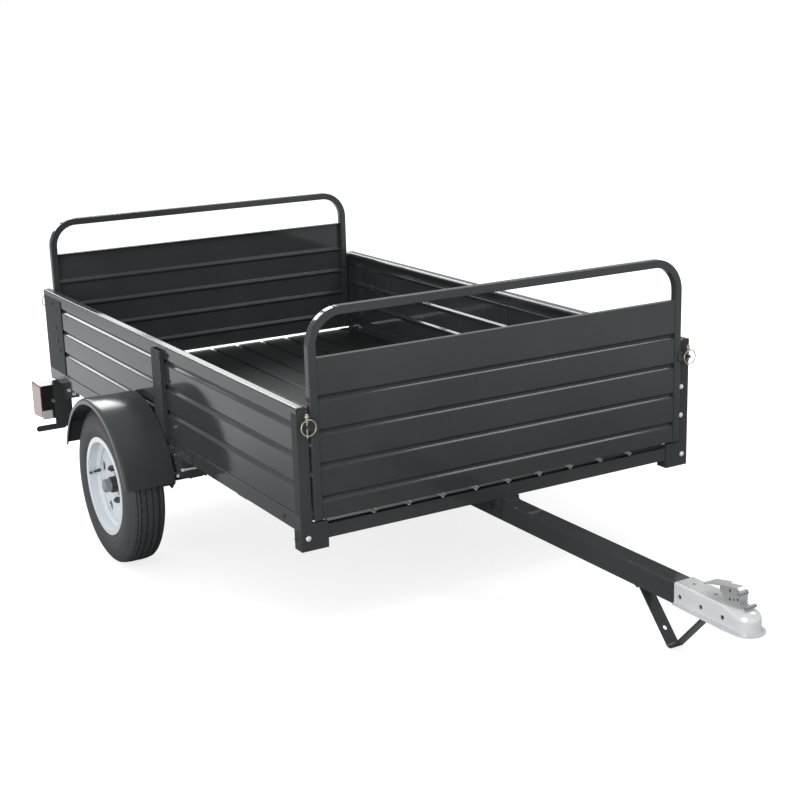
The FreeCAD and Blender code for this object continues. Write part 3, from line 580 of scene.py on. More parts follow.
def finishes():
    """The values of every finish, by the record's material slots and some kinds of them."""
    colours = bpy.context.scene.trailer_finish
    return {
        "black_paint": dict(
            name="Black Powder Coat", colour=colours.paint, rough=colours.paint_rough, grain=260,
            bump=0.035, contrast=0.12, rough_range=0.04, dust=0.012, specular=0.27),
        "floor_paint": dict(
            name="Floor Black", colour=[c * 0.34 for c in colours.paint], rough=0.42, grain=300,
            bump=0.06, contrast=0.14, rough_range=0.06, dust=0.02, specular=0.25),
        "satin_paint": dict(
            name="Satin Black", colour=[c * 1.15 for c in colours.paint], rough=0.55, grain=420,
            bump=0.10, contrast=0.14, rough_range=0.06, dust=0.012, specular=0.08),
        "fender_paint": dict(
            name="Fender Black", colour=colours.paint, rough=0.22, grain=320, bump=0.05,
            contrast=0.12, rough_range=0.05, dust=0.012, specular=0.36),
        "rim_white": dict(
            name="White Rim Paint", colour=colours.rim_white, rough=0.28, grain=300,
            contrast=0.02, rough_range=0.05, coat=0.3),
        "hub_black": dict(
            name="Hub Black", colour=(0.03, 0.03, 0.031), rough=0.35, grain=240, bump=0.05),
        "zinc_steel": dict(
            name="Bright Zinc", colour=colours.zinc, rough=0.33, metallic=0.40, grain=420,
            bump=0.06, contrast=0.06, rough_range=0.10, dust=1.1),
        "latch_zinc": dict(
            name="Latch Zinc", colour=(0.54, 0.55, 0.55), rough=0.34, metallic=0.75, grain=420,
            bump=0.08, contrast=0.16, rough_range=0.10),
        "worn_zinc": dict(
            name="Worn Zinc", colour=(0.34, 0.35, 0.37), rough=0.42, metallic=0.8, grain=380,
            bump=0.08, contrast=0.2),
        "dark_zinc": dict(
            name="Dark Zinc", colour=(0.12, 0.125, 0.13), rough=0.35, metallic=0.6, grain=380,
            bump=0.08, contrast=0.25),
        # Painted shade for the holes in the coupler's latch.
        "hole_shadow_black": dict(
            name="Hole Shadow Black", colour=(0.03, 0.03, 0.032), rough=0.5, metallic=0.3, grain=300,
            bump=0.05),
        "spring_steel": dict(
            name="Spring Black", colour=(0.022, 0.023, 0.024), rough=0.42, bump=0.08,
            contrast=0.2),
        "pin_yellow_zinc": dict(
            name="Yellow Zinc", colour=colours.yellow_zinc, rough=0.3, metallic=0.9, grain=500,
            bump=0.03),
        "tyre_rubber": dict(
            name="Tyre Rubber", colour=colours.rubber, rough=0.62, grain=380, bump=0.12,
            contrast=0.16, dust=0.12),
        "lens_red": dict(
            name="Lens Red", colour=colours.lens, rough=0.1, grain=60, contrast=0.1, coat=0.6),
        "clear_lens": dict(
            name="Clear Lens", colour=(0.56, 0.56, 0.57), rough=0.12, grain=120, bump=0.04,
            contrast=0.1, coat=0.5),
        "lamp_black": dict(
            name="Lamp Black", colour=colours.plastic, rough=0.32, grain=500, bump=0.06),
    }


MADE_FURTHER = {"rim_white": paint_barrel_shade, "lens_red": mould_lens_and_sheen}
MATERIALS = {}


def material_for(finish):
    """One of the finishes, made once."""
    if finish not in MATERIALS:
        MATERIALS[finish] = finish_material(**finishes()[finish])
        if finish in MADE_FURTHER:
            MADE_FURTHER[finish](MATERIALS[finish])
    return MATERIALS[finish]


# Frame, bed, gates, fenders and lamps


def sides_of(name):
    return (name + "_left", name + "_right")


SATIN = ("corner_post", "mid_post", "front_feet", "lamp_bracket", "spring_hangers", "rear_corner")
FOLDED = [*sides_of("side_panel_front"), *sides_of("side_panel_rear"), "deck_front", "deck_rear",
          "front_gate_panel", "rear_gate_panel"]
SHEET = ["front_beam", "rear_beam", "cross_members", *sides_of("side_rail"),
         *sides_of("corner_post_front"), *sides_of("corner_post_rear"), "front_feet",
         "rear_corner_plates", *sides_of("mid_post"), "tongue_saddles", "tongue_stand",
         "fender_arms", *sides_of("lamp_bracket"), "spring_hangers_front", "spring_hangers_rear",
         "spring_shackles", *sides_of("leaf_spring"), "coupler_latch"]
ROUNDED = ["front_hoop", "rear_hoop", "tongue", *sides_of("fender"), *sides_of("hub"), "axle"]
TURNED = ["coupler", "axle_clamps"]
LAMPS = [*sides_of("lamp_housing"), *sides_of("lamp_lens")]


def node_slot(node):
    return next(p["material_slot"] for p in frame["record"]["subparts"] if p["node"] == node)


def body_of(node):
    bodies = frame["record"]["behaviour"]["bodies"]
    return next(body for body, nodes in bodies.items() if node in nodes)


def finish_of(node):
    """The slot's finish, or its kind on the posts, fenders, floor and latch."""
    if node.startswith(SATIN):
        return material_for("satin_paint")
    if node.startswith("fender"):
        return material_for("fender_paint")
    if node.startswith("deck"):
        return material_for("floor_paint")
    if node == "coupler_latch":
        return material_for("latch_zinc")
    return material_for(node_slot(node))


# Turns between neighbouring faces in degrees: within a flat face, over a pressed fold and
# over a cut edge.
FLAT_TURN = 0.3
FOLD_TURN = 25
CUT_TURN = 70


def copied(node):
    """A merged copy of a frame piece, with its flat faces whole."""
    only(frame["nodes"][node])
    bpy.ops.object.duplicate(linked=False)
    obj = bpy.context.object
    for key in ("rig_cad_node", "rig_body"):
        if key in obj:
            del obj[key]
    obj.parent = None
    bpy.ops.object.mode_set(mode="EDIT")
    bpy.ops.mesh.select_all(action="SELECT")
    bpy.ops.mesh.remove_doubles(threshold=MERGE)
    bpy.ops.mesh.dissolve_limited(angle_limit=math.radians(FLAT_TURN), delimit={"NORMAL"})
    bpy.ops.object.mode_set(mode="OBJECT")
    if obj.data.has_custom_normals:
        bpy.ops.mesh.customdata_custom_splitnormals_clear()
    return obj


def weighed(obj, cut, fold):
    """Gives cut edges and pressed folds their own bevel widths."""
    mesh = bmesh.new()
    mesh.from_mesh(obj.data)
    layer = mesh.edges.layers.float.new("bevel_weight_edge")
    for edge in mesh.edges:
        if len(edge.link_faces) != 2:
            continue
        turn = math.degrees(edge.calc_face_angle(0.0))
        if turn > CUT_TURN:
            edge[layer] = cut / fold
        elif turn > FOLD_TURN:
            edge[layer] = 1.0
    mesh.to_mesh(obj.data)
    mesh.free()
    return obj


def softened(node, cut, fold=None, segments=2, angle=30.0, shade=35.0):
    """A copy of a frame piece with its edges rounded, in that piece's place."""
    obj = copied(node)
    if fold:
        modified(weighed(obj, cut, fold), "BEVEL", limit_method="WEIGHT", width=fold,
                 segments=segments, use_clamp_overlap=False)
    elif cut:
        bevel(obj, cut, segments, angle)
    if fold or cut:
        flat_faced(obj, shade)
    else:
        smooth(obj, shade)
    return settle(obj, node + "_finish", body_of(node), finish_of(node), (node,),
                  level=False)


LAMP_ROUND = 0.0012
FENDER_R = 0.302
FENDER_OUT = HALF_BED + 0.184
FENDER_ARC = (12.7, 162.6)
BEAD_R = 0.0023
BEAD_IN = 0.0024
BEAD_DROP = 0.0185
BEAD_STEPS = 60


def fender_bead():
    """The rolled edge along the right fender's outer skirt."""
    start, end = FENDER_ARC
    radius = FENDER_R - BEAD_DROP
    points = []
    for i in range(BEAD_STEPS + 1):
        turn = math.radians(start + (end - start) * i / BEAD_STEPS)
        points.append((FENDER_OUT - BEAD_IN, WHEEL.y - radius * math.cos(turn),
                       WHEEL.z + radius * math.sin(turn)))
    return smooth(tube(points, BEAD_R, 3), 50)


class TRAILER_OT_frame_finish(Operator):
    """Paint the frame, floor, walls and gates, with rounded folds"""

    bl_idname = "trailer.frame_finish"
    bl_label = "Frame and Bed"

    def execute(self, context):
        parts = context.scene.trailer_parts
        for node, obj in frame["nodes"].items():
            obj.data.materials.clear()
            obj.data.materials.append(finish_of(node))
        for node in FOLDED:
            softened(node, parts.edge_round, parts.fold_round)
        for node in SHEET:
            softened(node, parts.edge_round)
        for node in ROUNDED:
            softened(node, parts.edge_round, angle=40.0, shade=40.0)
        for node in TURNED:
            softened(node, None, shade=32.0)
        for node in LAMPS:
            softened(node, LAMP_ROUND, segments=3, angle=50.0, shade=40.0)
        right = fender_bead()
        for piece, word in ((right, "right"), (mirrored(right), "left")):
            settle(piece, "fender_bead_" + word, "chassis",
                   material_for("fender_paint"))
        return {"FINISHED"}


# Top rails: a sheet folded down outside and rolled down inside

RAIL_TOP = 0.384
RAIL_SKIN = 0.003
RAIL_LIP = 0.366
RAIL_EDGE = (0.0048, 0.0050)
RAIL_ROLL_X = 0.664
RAIL_ROLL_Z = 0.372
ROLL_OUTER = 0.013
ROLL_INNER = 0.011


def quarter(centre, reach, rise, start, end, steps):
    """Points on part of an ellipse in the section, from one angle to another: x, z."""
    turns = [math.radians(start + (end - start) * i / steps) for i in range(steps + 1)]
    return [(centre[0] + reach * math.cos(t), centre[1] + rise * math.sin(t)) for t in turns]


def rail_section():
    """The right rail's section, along its outside and back along its inside."""
    reach, rise = RAIL_EDGE
    roll = (RAIL_ROLL_X, RAIL_ROLL_Z)
    under_top = RAIL_TOP - RAIL_SKIN
    inside = HALF_BED - RAIL_SKIN
    edge = quarter((HALF_BED - reach, RAIL_TOP - rise), reach, rise, 0, 90, 4)
    over = quarter(roll, ROLL_OUTER, RAIL_TOP - RAIL_ROLL_Z, 90, 180, 7)
    under = quarter(roll, ROLL_INNER, under_top - RAIL_ROLL_Z, 180, 90, 6)
    return [(HALF_BED, RAIL_LIP), *edge, *over, *under, (inside, under_top), (inside, RAIL_LIP)]


def top_rail(side):
    """The folded rail along one side of the bed, drawn in section and pulled to length."""
    obj = drawn_line([(side * x, 0.0, z) for x, z in rail_section()])
    edit(obj)
    bpy.ops.mesh.select_all(action="SELECT")
    bpy.ops.mesh.edge_face_add()
    bpy.ops.mesh.extrude_region_move(TRANSFORM_OT_translate={"value": (0, BED_LENGTH, 0)})
    bpy.ops.object.mode_set(mode="OBJECT")
    return flat_faced(outward(obj), 40)


class TRAILER_OT_top_rails(Operator):
    """Fold the two top rails"""

    bl_idname = "trailer.top_rails"
    bl_label = "Top Rails"

    def execute(self, context):
        for side, word in SIDES:
            node = "top_rail_" + word
            settle(top_rail(side), node + "_finish", body_of(node),
                   finish_of(node), (node,))
        return {"FINISHED"}


# Fasteners

# A hexagon bolt's parts as shares of its width across the flats. Steps are inset and push.
WASHER_THICK = 0.13
HEAD_TALL = 0.55
HEAD_STEPS = ((0.07, 0.03), (0.03, -0.02))
SHANK_R = 0.3
SHANK_STEPS = ((0.06, 0.06),)
# A round bolt's parts as shares of its diameter.
DOME_BASE = 0.1
DOME_STEPS = ((0.08, 0.07), (0.12, 0.06), (0.14, 0.03))


def sized(steps, size):
    """Steps given as shares, in metres."""
    return [(size * inset, size * push) for inset, push in steps]


def rod(radius, length, middle, axis="Z", sides=24):
    """A cylinder along an axis through the origin, its middle at a place on that axis."""
    centre = [middle if name == axis else 0 for name in AXIS_TURN]
    return new_cylinder(radius, length, centre, axis, sides)


def hex_bolt(across, washer=1.6, shank=0.0):
    """A hexagon head with a chamfer, on a washer, its seat at z = 0."""
    thick = across * WASHER_THICK
    tall = across * HEAD_TALL
    disc = rod(across * washer / 2, thick, thick / 2)
    head = rod(across / math.sqrt(3), tall, thick + tall / 2, sides=6)
    parts = [bevel(disc, thick * 0.3, 1, 50), stepped(head, sized(HEAD_STEPS, across))]
    if shank:
        end = rod(across * SHANK_R, shank, thick + tall + shank / 2, sides=16)
        parts.append(stepped(end, sized(SHANK_STEPS, across)))
    return smooth(applied(join(parts, "hex_bolt")), 30)


def round_bolt(diameter):
    """A domed carriage bolt head, its seat at z = 0."""
    base = diameter * DOME_BASE
    head = stepped(rod(diameter / 2, base, base / 2, sides=28), sized(DOME_STEPS, diameter))
    return smooth(applied(head), 50)


def fastened(template, spots, name, slot, finish=None):
    """Copies of one fastener at places with their outward directions, joined to a piece."""
    made = [copy_of(template, Matrix.Translation(Vector(place)) @ facing(normal))
            for place, normal in spots]
    return settle(join(made, name), name, "chassis", material_for(finish or slot))


# Bolts on one side of the trailer: y and z in the level trailer's frame.
MID_POST_BOLTS = [(0.943, z) for z in (0.345, 0.260, 0.170)]
REAR_PLATE_BOLTS = [(BED_LENGTH - y, z)
                    for y, z in ((0.094, 0.340), (0.117, 0.250), (0.127, 0.201), (0.141, 0.165))]
PANEL_BOLTS = [(0.871, 0.128), (1.018, 0.224), (1.018, 0.170)]
RAIL_BOLTS = [(0.1035, 0.051), (0.030, 0.006)]
HANGER_BOLTS = [(0.907, 0.025), (0.767, 0.052), (0.878, 0.008)]
ARM_BOLTS = [(y, 0.054) for y in (0.8935, 0.9165, 1.4005, 1.4235)]
SHACKLE_BOLTS = [(1.4835, -0.023), (1.4975, 0.008)]
HANGER_TOP_BOLT = (0.821, 0.050)
EYE_BOLT = (0.8335, -0.023)
HANGER_PIN = (0.805, 0.003)
HANGER_PIN_R = 0.004
HANGER_PIN_LENGTH = 0.052
HANGER_PIN_X = 0.670
# How far out the surfaces stand that those bolts sit on.
ON_SKIN = HALF_BED + 0.0001
ON_POST = HALF_BED + 0.012
ON_PANEL = HALF_BED - 0.0028
ON_HANGER = HALF_BED + PLATE + 0.0001
ON_ARM = HALF_BED + 0.005
ON_SHACKLE = HALF_BED + 0.0157
ON_EYE = HALF_BED + 0.015
SPRING_INNER = 0.600
# Nuts under the axle's clamp plate, about the middle of the spring: x and y.
CLAMP_NUTS = [(x, y) for x in (-0.027, 0.027) for y in (-0.031, 0.031)]
SPRING_X = 0.640
AXLE_HALF = 0.0225
CLAMP_PLATE = 0.006
# Bolts on the front faces of the posts and feet: x and z.
FRONT_FACE = -0.0001
FOOT_BOLT = (0.665, 0.011)
RIGHT_POST_BOLTS = [(0.657, 0.232), (0.657, 0.140)]
# Bolts through the tongue: y at its two saddles, from the sides, and y from below.
SADDLE_BOLTS = ((0.009, 0.037), (0.901, 0.929))
SADDLE_BOLT_Z = -0.034
LOW_BOLTS = (-0.588, -0.905)
TONGUE_SIDE = 0.0351
TONGUE_UNDER = -0.0731


class TRAILER_OT_fasteners(Operator):
    """Bolt the posts, feet, panels, hangers and fender arms together"""

    bl_idname = "trailer.fasteners"
    bl_label = "Bolts and Nuts"

    def execute(self, context):
        size = context.scene.trailer_parts.bolt_head
        small = hex_bolt(size * 0.62, 1.4)
        middle = hex_bolt(size, 1.6, size * 0.35)
        large = hex_bolt(size * 1.15, 1.4, size * 0.4)
        dome = round_bolt(size * 1.25)
        for side, word in SIDES:
            def on(x, places, normal=OUTWARD[side]):
                return [((side * x, y, z), normal) for y, z in places]

            fastened(small, on(ON_POST, MID_POST_BOLTS) + on(ON_SKIN, REAR_PLATE_BOLTS),
                     "post_bolts_" + word, "black_paint", "dark_zinc")
            fastened(small, on(ON_PANEL, PANEL_BOLTS), "panel_bolts_" + word, "zinc_steel",
                     "worn_zinc")
            front = [(side * FOOT_BOLT[0], FOOT_BOLT[1])] + (RIGHT_POST_BOLTS if side > 0 else [])
            fastened(dome, [((x, FRONT_FACE, z), FORWARD) for x, z in front],
                     "corner_bolts_" + word, "zinc_steel")
            fastened(small, on(ON_SKIN, RAIL_BOLTS) + on(ON_HANGER, HANGER_BOLTS)
                     + on(ON_ARM, ARM_BOLTS), "hanger_bolts_" + word, "black_paint", "dark_zinc")
            fastened(large, on(ON_HANGER, [HANGER_TOP_BOLT]) + on(ON_SHACKLE, SHACKLE_BOLTS)
                     + on(SPRING_INNER, [EYE_BOLT], OUTWARD[-side]),
                     "spring_bolts_" + word, "black_paint", "dark_zinc")
            fastened(small, on(ON_EYE, [EYE_BOLT]), "eye_nut_" + word, "zinc_steel")
            cross = new_cylinder(HANGER_PIN_R, HANGER_PIN_LENGTH, (side * HANGER_PIN_X, *HANGER_PIN),
                                 "X", 16)
            end = side * (HANGER_PIN_X + HANGER_PIN_LENGTH / 2)
            head = copy_of(small, Matrix.Translation((end, *HANGER_PIN)) @ facing(OUTWARD[side]))
            settle(join([bevel(cross, 0.001), head], "hanger_pin"), "hanger_pin_" + word, "chassis",
                   material_for("zinc_steel"))
            low = WHEEL.z - AXLE_HALF - CLAMP_PLATE
            spots = [((side * (SPRING_X + x), WHEEL.y + y, low), DOWN) for x, y in CLAMP_NUTS]
            fastened(middle, spots, "clamp_nuts_" + word, "zinc_steel", "worn_zinc")
        spots = [((side * TONGUE_SIDE, y, SADDLE_BOLT_Z), OUTWARD[side])
                 for pair in SADDLE_BOLTS for side in (-1, 1) for y in pair]
        spots += [((0, y, TONGUE_UNDER), DOWN) for y in LOW_BOLTS]
        fastened(middle, spots, "tongue_bolts", "black_paint")
        discard(small, middle, large, dome)
        return {"FINISHED"}


# Linch pins

STUD_X = 0.664
STUD_Z = 0.333
PIN_Y = -0.021
# The pin's round parts: radius, length and the height of the middle.
PIN_SHANK = (0.0026, 0.0520, -0.0040)
PIN_NECK = (0.0040, 0.0140, 0.0175)
PIN_HEAD = (0.0060, 0.0100, 0.0285)
PIN_BAND = (0.0046, 0.0022, 0.0350)
PIN_TIP = ((0.0008, 0.0020),)
# Its ring and the eye that holds the ring: two radii or radius and length, then the place.
PIN_RING = (0.0222, 0.0017, (0, -0.0085, -0.0010))
PIN_EYE = (0.0031, 0.0060, (0, -0.0065, 0.0212))


def linch_pin():
    """A spring ring through the thick end of a tapered pin, at the origin, facing -Y."""
    shank = stepped(rod(*PIN_SHANK, sides=20), PIN_TIP, near_end)
    neck = bevel(rod(*PIN_NECK), 0.0010, 3)
    head = bevel(rod(*PIN_HEAD, sides=28), 0.0022, 3)
    band = bevel(rod(*PIN_BAND), 0.0008)
    ring = new_ring(*PIN_RING, "Y", 72, 12)
    eye = bevel(new_cylinder(*PIN_EYE, "Y", 20), 0.0008)
    return smooth(applied(join([shank, neck, head, band, ring, eye], "linch_pin")), 40)


class TRAILER_OT_gate_pins(Operator):
    """Push the ringed pins through the studs of both gates"""

    bl_idname = "trailer.gate_pins"
    bl_label = "Linch Pins"

    def execute(self, context):
        pin = linch_pin()
        for gate, y, turn in (("front", PIN_Y, 0.0), ("rear", BED_LENGTH - PIN_Y, math.pi)):
            pins = [copy_of(pin, Matrix.Translation((x, y, STUD_Z)) @ Matrix.Rotation(turn, 4, "Z"))
                    for x in (-STUD_X, STUD_X)]
            settle(join(pins, gate + "_pins"), gate + "_pins_finish", gate + "_gate",
                   material_for("pin_yellow_zinc"), (gate + "_linch_pins",))
        discard(pin)
        return {"FINISHED"}


# Tyres

TREAD_R = 0.2655
TREAD_FLAT = 0.0050
CROWN_START = 0.024
CROWN_FALL = 22.5
SHOULDER = 0.0385
GROOVES = (0.0105, 0.0305)
GROOVE_TOP = 0.0024
GROOVE_FLOOR = 0.0016
RIB_MIDDLE = 0.0090
# Half of the side wall's section, from the tread's edge to the bead: reach, radius.
SIDEWALL = ((0.0440, 0.2622), (0.0490, 0.2585), (0.0530, 0.2532), (0.0565, 0.2470), (0.0590, 0.2410),
            (0.0604, 0.2396), (0.0612, 0.2378), (0.0622, 0.2340), (0.0640, 0.2250), (0.0652, 0.2180),
            (0.0660, 0.2110), (0.0658, 0.2040), (0.0650, 0.1980), (0.0641, 0.1930), (0.0646, 0.1912),
            (0.0641, 0.1894), (0.0630, 0.1860), (0.0612, 0.1800), (0.0596, 0.1745), (0.0584, 0.1712),
            (0.0572, 0.1690), (0.0567, 0.1660), (0.0567, 0.1536))
# Cuts across the ribs: reach from, reach to, shift round the tyre in blocks.
RIB_CUTS = ((0.0335, 0.0480, 0.0), (0.0136, 0.0270, 0.5))
RIB_LOW = 0.2585
CUT_SHARE = 0.25
CUT_SLOPE = 0.0004
CUT_DEPTH = 0.0018
STEPS_PER_BLOCK = 4


def crown(reach):
    """Radius of the tread, which falls away towards its edges with the square of the reach."""
    return TREAD_R - CROWN_FALL * max(0.0, reach - CROWN_START) ** 2


def tyre_profile(depth):
    """Half of the tyre's section from the middle of its tread to the bead: reach, radius."""
    line = [(0.0, TREAD_R), (TREAD_FLAT, TREAD_R)]
    for groove in GROOVES:
        top = crown(groove)
        rib = groove + RIB_MIDDLE
        line += [(groove - GROOVE_TOP, top), (groove - GROOVE_FLOOR, top - depth),
                 (groove + GROOVE_FLOOR, top - depth), (groove + GROOVE_TOP, top),
                 (rib, crown(rib))]
    line[-1] = (SHOULDER, crown(SHOULDER))
    return line + list(SIDEWALL)


def tyre(blocks, depth):
    """The right tyre, with ring grooves, cuts across its ribs and moulded rings."""
    half = tyre_profile(depth)
    line = [(-u, r) for u, r in half[::-1]] + half[1:]
    line.append(line[0])
    points = [WHEEL + Vector((u, 0, r)) for u, r in line]
    obj = spun(points, WHEEL, (1, 0, 0), blocks * STEPS_PER_BLOCK)
    place = obj.matrix_world.copy()

    def cut(point, normal):
        spot = place @ point - WHEEL
        turn = math.atan2(spot.z, spot.y) / (2 * math.pi) * blocks
        return math.hypot(spot.y, spot.z) > RIB_LOW and any(
            low < abs(spot.x) < high and (turn + shift) % 1.0 < CUT_SHARE
            for low, high, shift in RIB_CUTS)

    return smooth(stepped(obj, ((CUT_SLOPE, -CUT_DEPTH),), cut), 32)


def both_sides(obj, name, slot, finish=None, replaced=None, shade=35):
    """Settles a right piece and its left twin, each on its own wheel."""
    twin = mirrored(obj)
    for piece, word in ((obj, "right"), (twin, "left")):
        names = (replaced + "_" + word,) if replaced else ()
        settle(smooth(piece, shade), name + "_" + word, "wheel_" + word,
               material_for(finish or slot), names)


class TRAILER_OT_tyres(Operator):
    """Mould the tyres"""

    bl_idname = "trailer.tyres"
    bl_label = "Tyres"

    def execute(self, context):
        parts = context.scene.trailer_parts
        both_sides(tyre(parts.tread_blocks, parts.tread_depth), "tyre_finish", "tyre_rubber",
                   replaced="tyre", shade=32)
        return {"FINISHED"}


# Rims, nuts, caps and valve stems

RIM_ROUND = 0.0006
DISC_X = 0.784
NUT_SEAT = DISC_X + 0.004
LUG_CIRCLE = 0.05715
LUG_COUNT = 5
LUG_FLATS = 0.0190
# A nut's parts: radius, length and how far out the middle is. Steps are inset and push.
NUT_CONE = (0.0092, 0.0040, 0.0020)
NUT_CONE_STEPS = ((0.0008, 0.0008),)
NUT_HEX = (LUG_FLATS / math.sqrt(3), 0.0120, 0.0100)
NUT_HEX_STEPS = ((0.0016, 0.0012),)
NUT_STUD = (0.0060, 0.0060, 0.0200)
HUB_END = 0.841
# The grease cap, with how far behind the hub's end its middle and its bead are.
CAP_R = 0.0222
CAP_LENGTH = 0.0200
CAP_BEHIND = 0.0110
CAP_STEPS = ((0.0012, 0.0012), (0.0030, 0.0010), (0.0060, 0.0006))
CAP_BEAD_R = 0.0010
CAP_BEAD_BEHIND = 0.0205
# The valve stem: its two ends on the wheel, then its foot and cap.
VALVE_FOOT = (0.8035, 0.1355, math.atan2(0.017, 0.137))
VALVE_TIP = (0.8400, 0.1440, math.radians(3))
VALVE_BASE = (0.0062, 0.0060, 0.0030)
VALVE_STEPS = ((0.0016, 0.0030), (0.0004, 0.0100), (0.0003, 0.0060))
VALVE_CAP_R = 0.0046
VALVE_CAP_LENGTH = 0.0090


def lug_nut():
    """A cone-seated wheel nut on its stud, its seat at x = 0, facing +X."""
    seat = stepped(rod(*NUT_CONE, "X"), NUT_CONE_STEPS)
    nut = stepped(rod(*NUT_HEX, "X", 6), NUT_HEX_STEPS)
    stud = bevel(rod(*NUT_STUD, "X", 20), 0.0012)
    return smooth(applied(join([seat, nut, stud], "lug_nut")), 30)


def wheel_spot(x, radius, turn):
    """A place on the right wheel by its reach, radius and angle from straight back."""
    return Vector((x, WHEEL.y + radius * math.cos(turn), WHEEL.z + radius * math.sin(turn)))


def lug_nuts():
    """The nuts on the right wheel's lug circle, with a gap between two at its top."""
    nut = lug_nut()
    turns = [math.pi / 2 + 2 * math.pi * (i + 0.5) / LUG_COUNT for i in range(LUG_COUNT)]
    nuts = [copy_of(nut, Matrix.Translation(wheel_spot(NUT_SEAT, LUG_CIRCLE, turn)))
            for turn in turns]
    joined = join(nuts, "lug_nuts")
    discard(nut)
    return joined


def grease_cap():
    """The cap pressed into the right hub's end, with a bead round its rim."""
    middle = (HUB_END - CAP_BEHIND, WHEEL.y, WHEEL.z)
    cap = stepped(new_cylinder(CAP_R, CAP_LENGTH, middle, "X", 56), CAP_STEPS)
    rim = (HUB_END - CAP_BEAD_BEHIND, WHEEL.y, WHEEL.z)
    bead = new_ring(CAP_R + 0.0002, CAP_BEAD_R, rim, "X", 56, 10)
    return join([cap, bead], "grease_cap")


def valve_stem():
    """A rubber valve that leans out of the right rim, with its cap."""
    foot = wheel_spot(*VALVE_FOOT)
    run = wheel_spot(*VALVE_TIP) - foot
    stem = stepped(rod(*VALVE_BASE, sides=20), VALVE_STEPS)
    cap_middle = run.length - VALVE_CAP_LENGTH / 2
    cap = bevel(rod(VALVE_CAP_R, VALVE_CAP_LENGTH, cap_middle, sides=20), 0.0012)
    obj = applied(join([stem, cap], "valve_stem"))
    obj.matrix_world = Matrix.Translation(foot) @ facing(run)
    return obj


class TRAILER_OT_rims(Operator):
    """Paint the rims and fit their nuts, caps and valve stems"""

    bl_idname = "trailer.rims"
    bl_label = "Rims and Nuts"

    def execute(self, context):
        for node in sides_of("rim"):
            softened(node, RIM_ROUND, angle=50, shade=30)
        both_sides(lug_nuts(), "lug_nuts", "zinc_steel", "dark_zinc", shade=30)
        both_sides(grease_cap(), "grease_cap", "zinc_steel", "worn_zinc")
        both_sides(valve_stem(), "valve_stem", "tyre_rubber", shade=40)
        return {"FINISHED"}


# Coupler

COUPLER_LOW = -0.062
BALL_Y = -0.996
LIP_NOSE = 0.0419
LIP_SIDE = ((0.0392, -0.7705), (0.0447, -0.9530), (LIP_NOSE, BALL_Y))
LIP_STEPS = 24
# The lip's outer bead and inner fold: radius and height over the coupler's lower edge.
LIP_BEAD = (0.0021, 0.0002)
LIP_FOLD = (0.0011, 0.0036)
LIP_FOLD_SHARE = 0.868
LIP_FOLD_BACK = 0.004
# Pins across the coupler: y and z.
LATCH_PIN = (-0.9770, 0.0290)
LATCH_PIN_R = 0.0050
LATCH_PIN_LENGTH = 0.0300
COLLAR_LENGTH = 0.0268
NOSE_PIN = (-1.0030, 0.0020)
NOSE_PIN_R = 0.0045
NOSE_PIN_LENGTH = 0.0360
# Painted shade for the holes in the latch's cheek, drawn as flush dark ovals: y, z and length.
LATCH_HOLE_SHADOWS = ((-0.9460, 0.0270, 0.0095), (-0.9730, 0.0125, 0.0075), (-0.9460, 0.0050, 0.0090),
               (-0.9600, 0.0085, 0.0055))
LATCH_HOLE_R = 0.0026
LATCH_WIDE = 0.0246


def along_lip(route, size, sides):
    """A round bar along the lip, by its radius and its height over the lower edge."""
    radius, rise = size
    return tube([(x, y, COUPLER_LOW + rise) for x, y in route], radius, sides)


def coupler_lip():
    """The lip's rolled bead, outside, and its fold, inside."""
    turns = [math.pi * i / LIP_STEPS for i in range(1, LIP_STEPS)]
    nose = [(LIP_NOSE * math.cos(t), BALL_Y - LIP_NOSE * math.sin(t)) for t in turns]
    route = [*LIP_SIDE, *nose, *((-x, y) for x, y in LIP_SIDE[::-1])]
    bead = along_lip(route, LIP_BEAD, 3)
    inner = [(x * LIP_FOLD_SHARE, y + (LIP_FOLD_BACK if y < BALL_Y - 0.02 else 0.0))
             for x, y in route]
    return join([bead, along_lip(inner, LIP_FOLD, 2)], "coupler_lip")


def latch_pin():
    """The pin through the latch's cheeks, with its collar."""
    place = (0, *LATCH_PIN)
    pin = bevel(new_cylinder(LATCH_PIN_R, LATCH_PIN_LENGTH, place, "X"), LATCH_PIN_R * 0.3, 3)
    collar = bevel(new_cylinder(LATCH_PIN_R * 1.25, COLLAR_LENGTH, place, "X"), LATCH_PIN_R * 0.12)
    return join([pin, collar], "latch_pins")


def latch_hole_shadows():
    """Flush dark ovals through the latch's cheeks: painted shade for its holes and slots."""
    dark = []
    for y, z, tall in LATCH_HOLE_SHADOWS:
        hole_shadow = new_cylinder(LATCH_HOLE_R, LATCH_WIDE, (0, y, z), "X", 20)
        hole_shadow.scale = (tall / (2 * LATCH_HOLE_R), 1, 1)
        dark.append(bevel(applied(hole_shadow, place=False), 0.0002, 1))
    return join(dark, "latch_slot_shadows")


def nose_pin():
    """The pin across the coupler's nose."""
    return bevel(new_cylinder(NOSE_PIN_R, NOSE_PIN_LENGTH, (0, *NOSE_PIN), "X"), 0.0012)


class TRAILER_OT_coupler(Operator):
    """Roll the coupler's lip and fit its latch pins"""

    bl_idname = "trailer.coupler"
    bl_label = "Coupler"

    def execute(self, context):
        for build, name, finish in (
            (coupler_lip, "coupler_lip", "zinc_steel"),
            (latch_pin, "latch_pins", "worn_zinc"),
            # The latch's slots are flush dark ovals, painted shade standing in for holes.
            (latch_hole_shadows, "latch_slot_shadows", "hole_shadow_black"),
            (nose_pin, "coupler_pin", "worn_zinc"),
        ):
            settle(smooth(build(), 40), name, "chassis", material_for(finish))
        return {"FINISHED"}


# Lamps

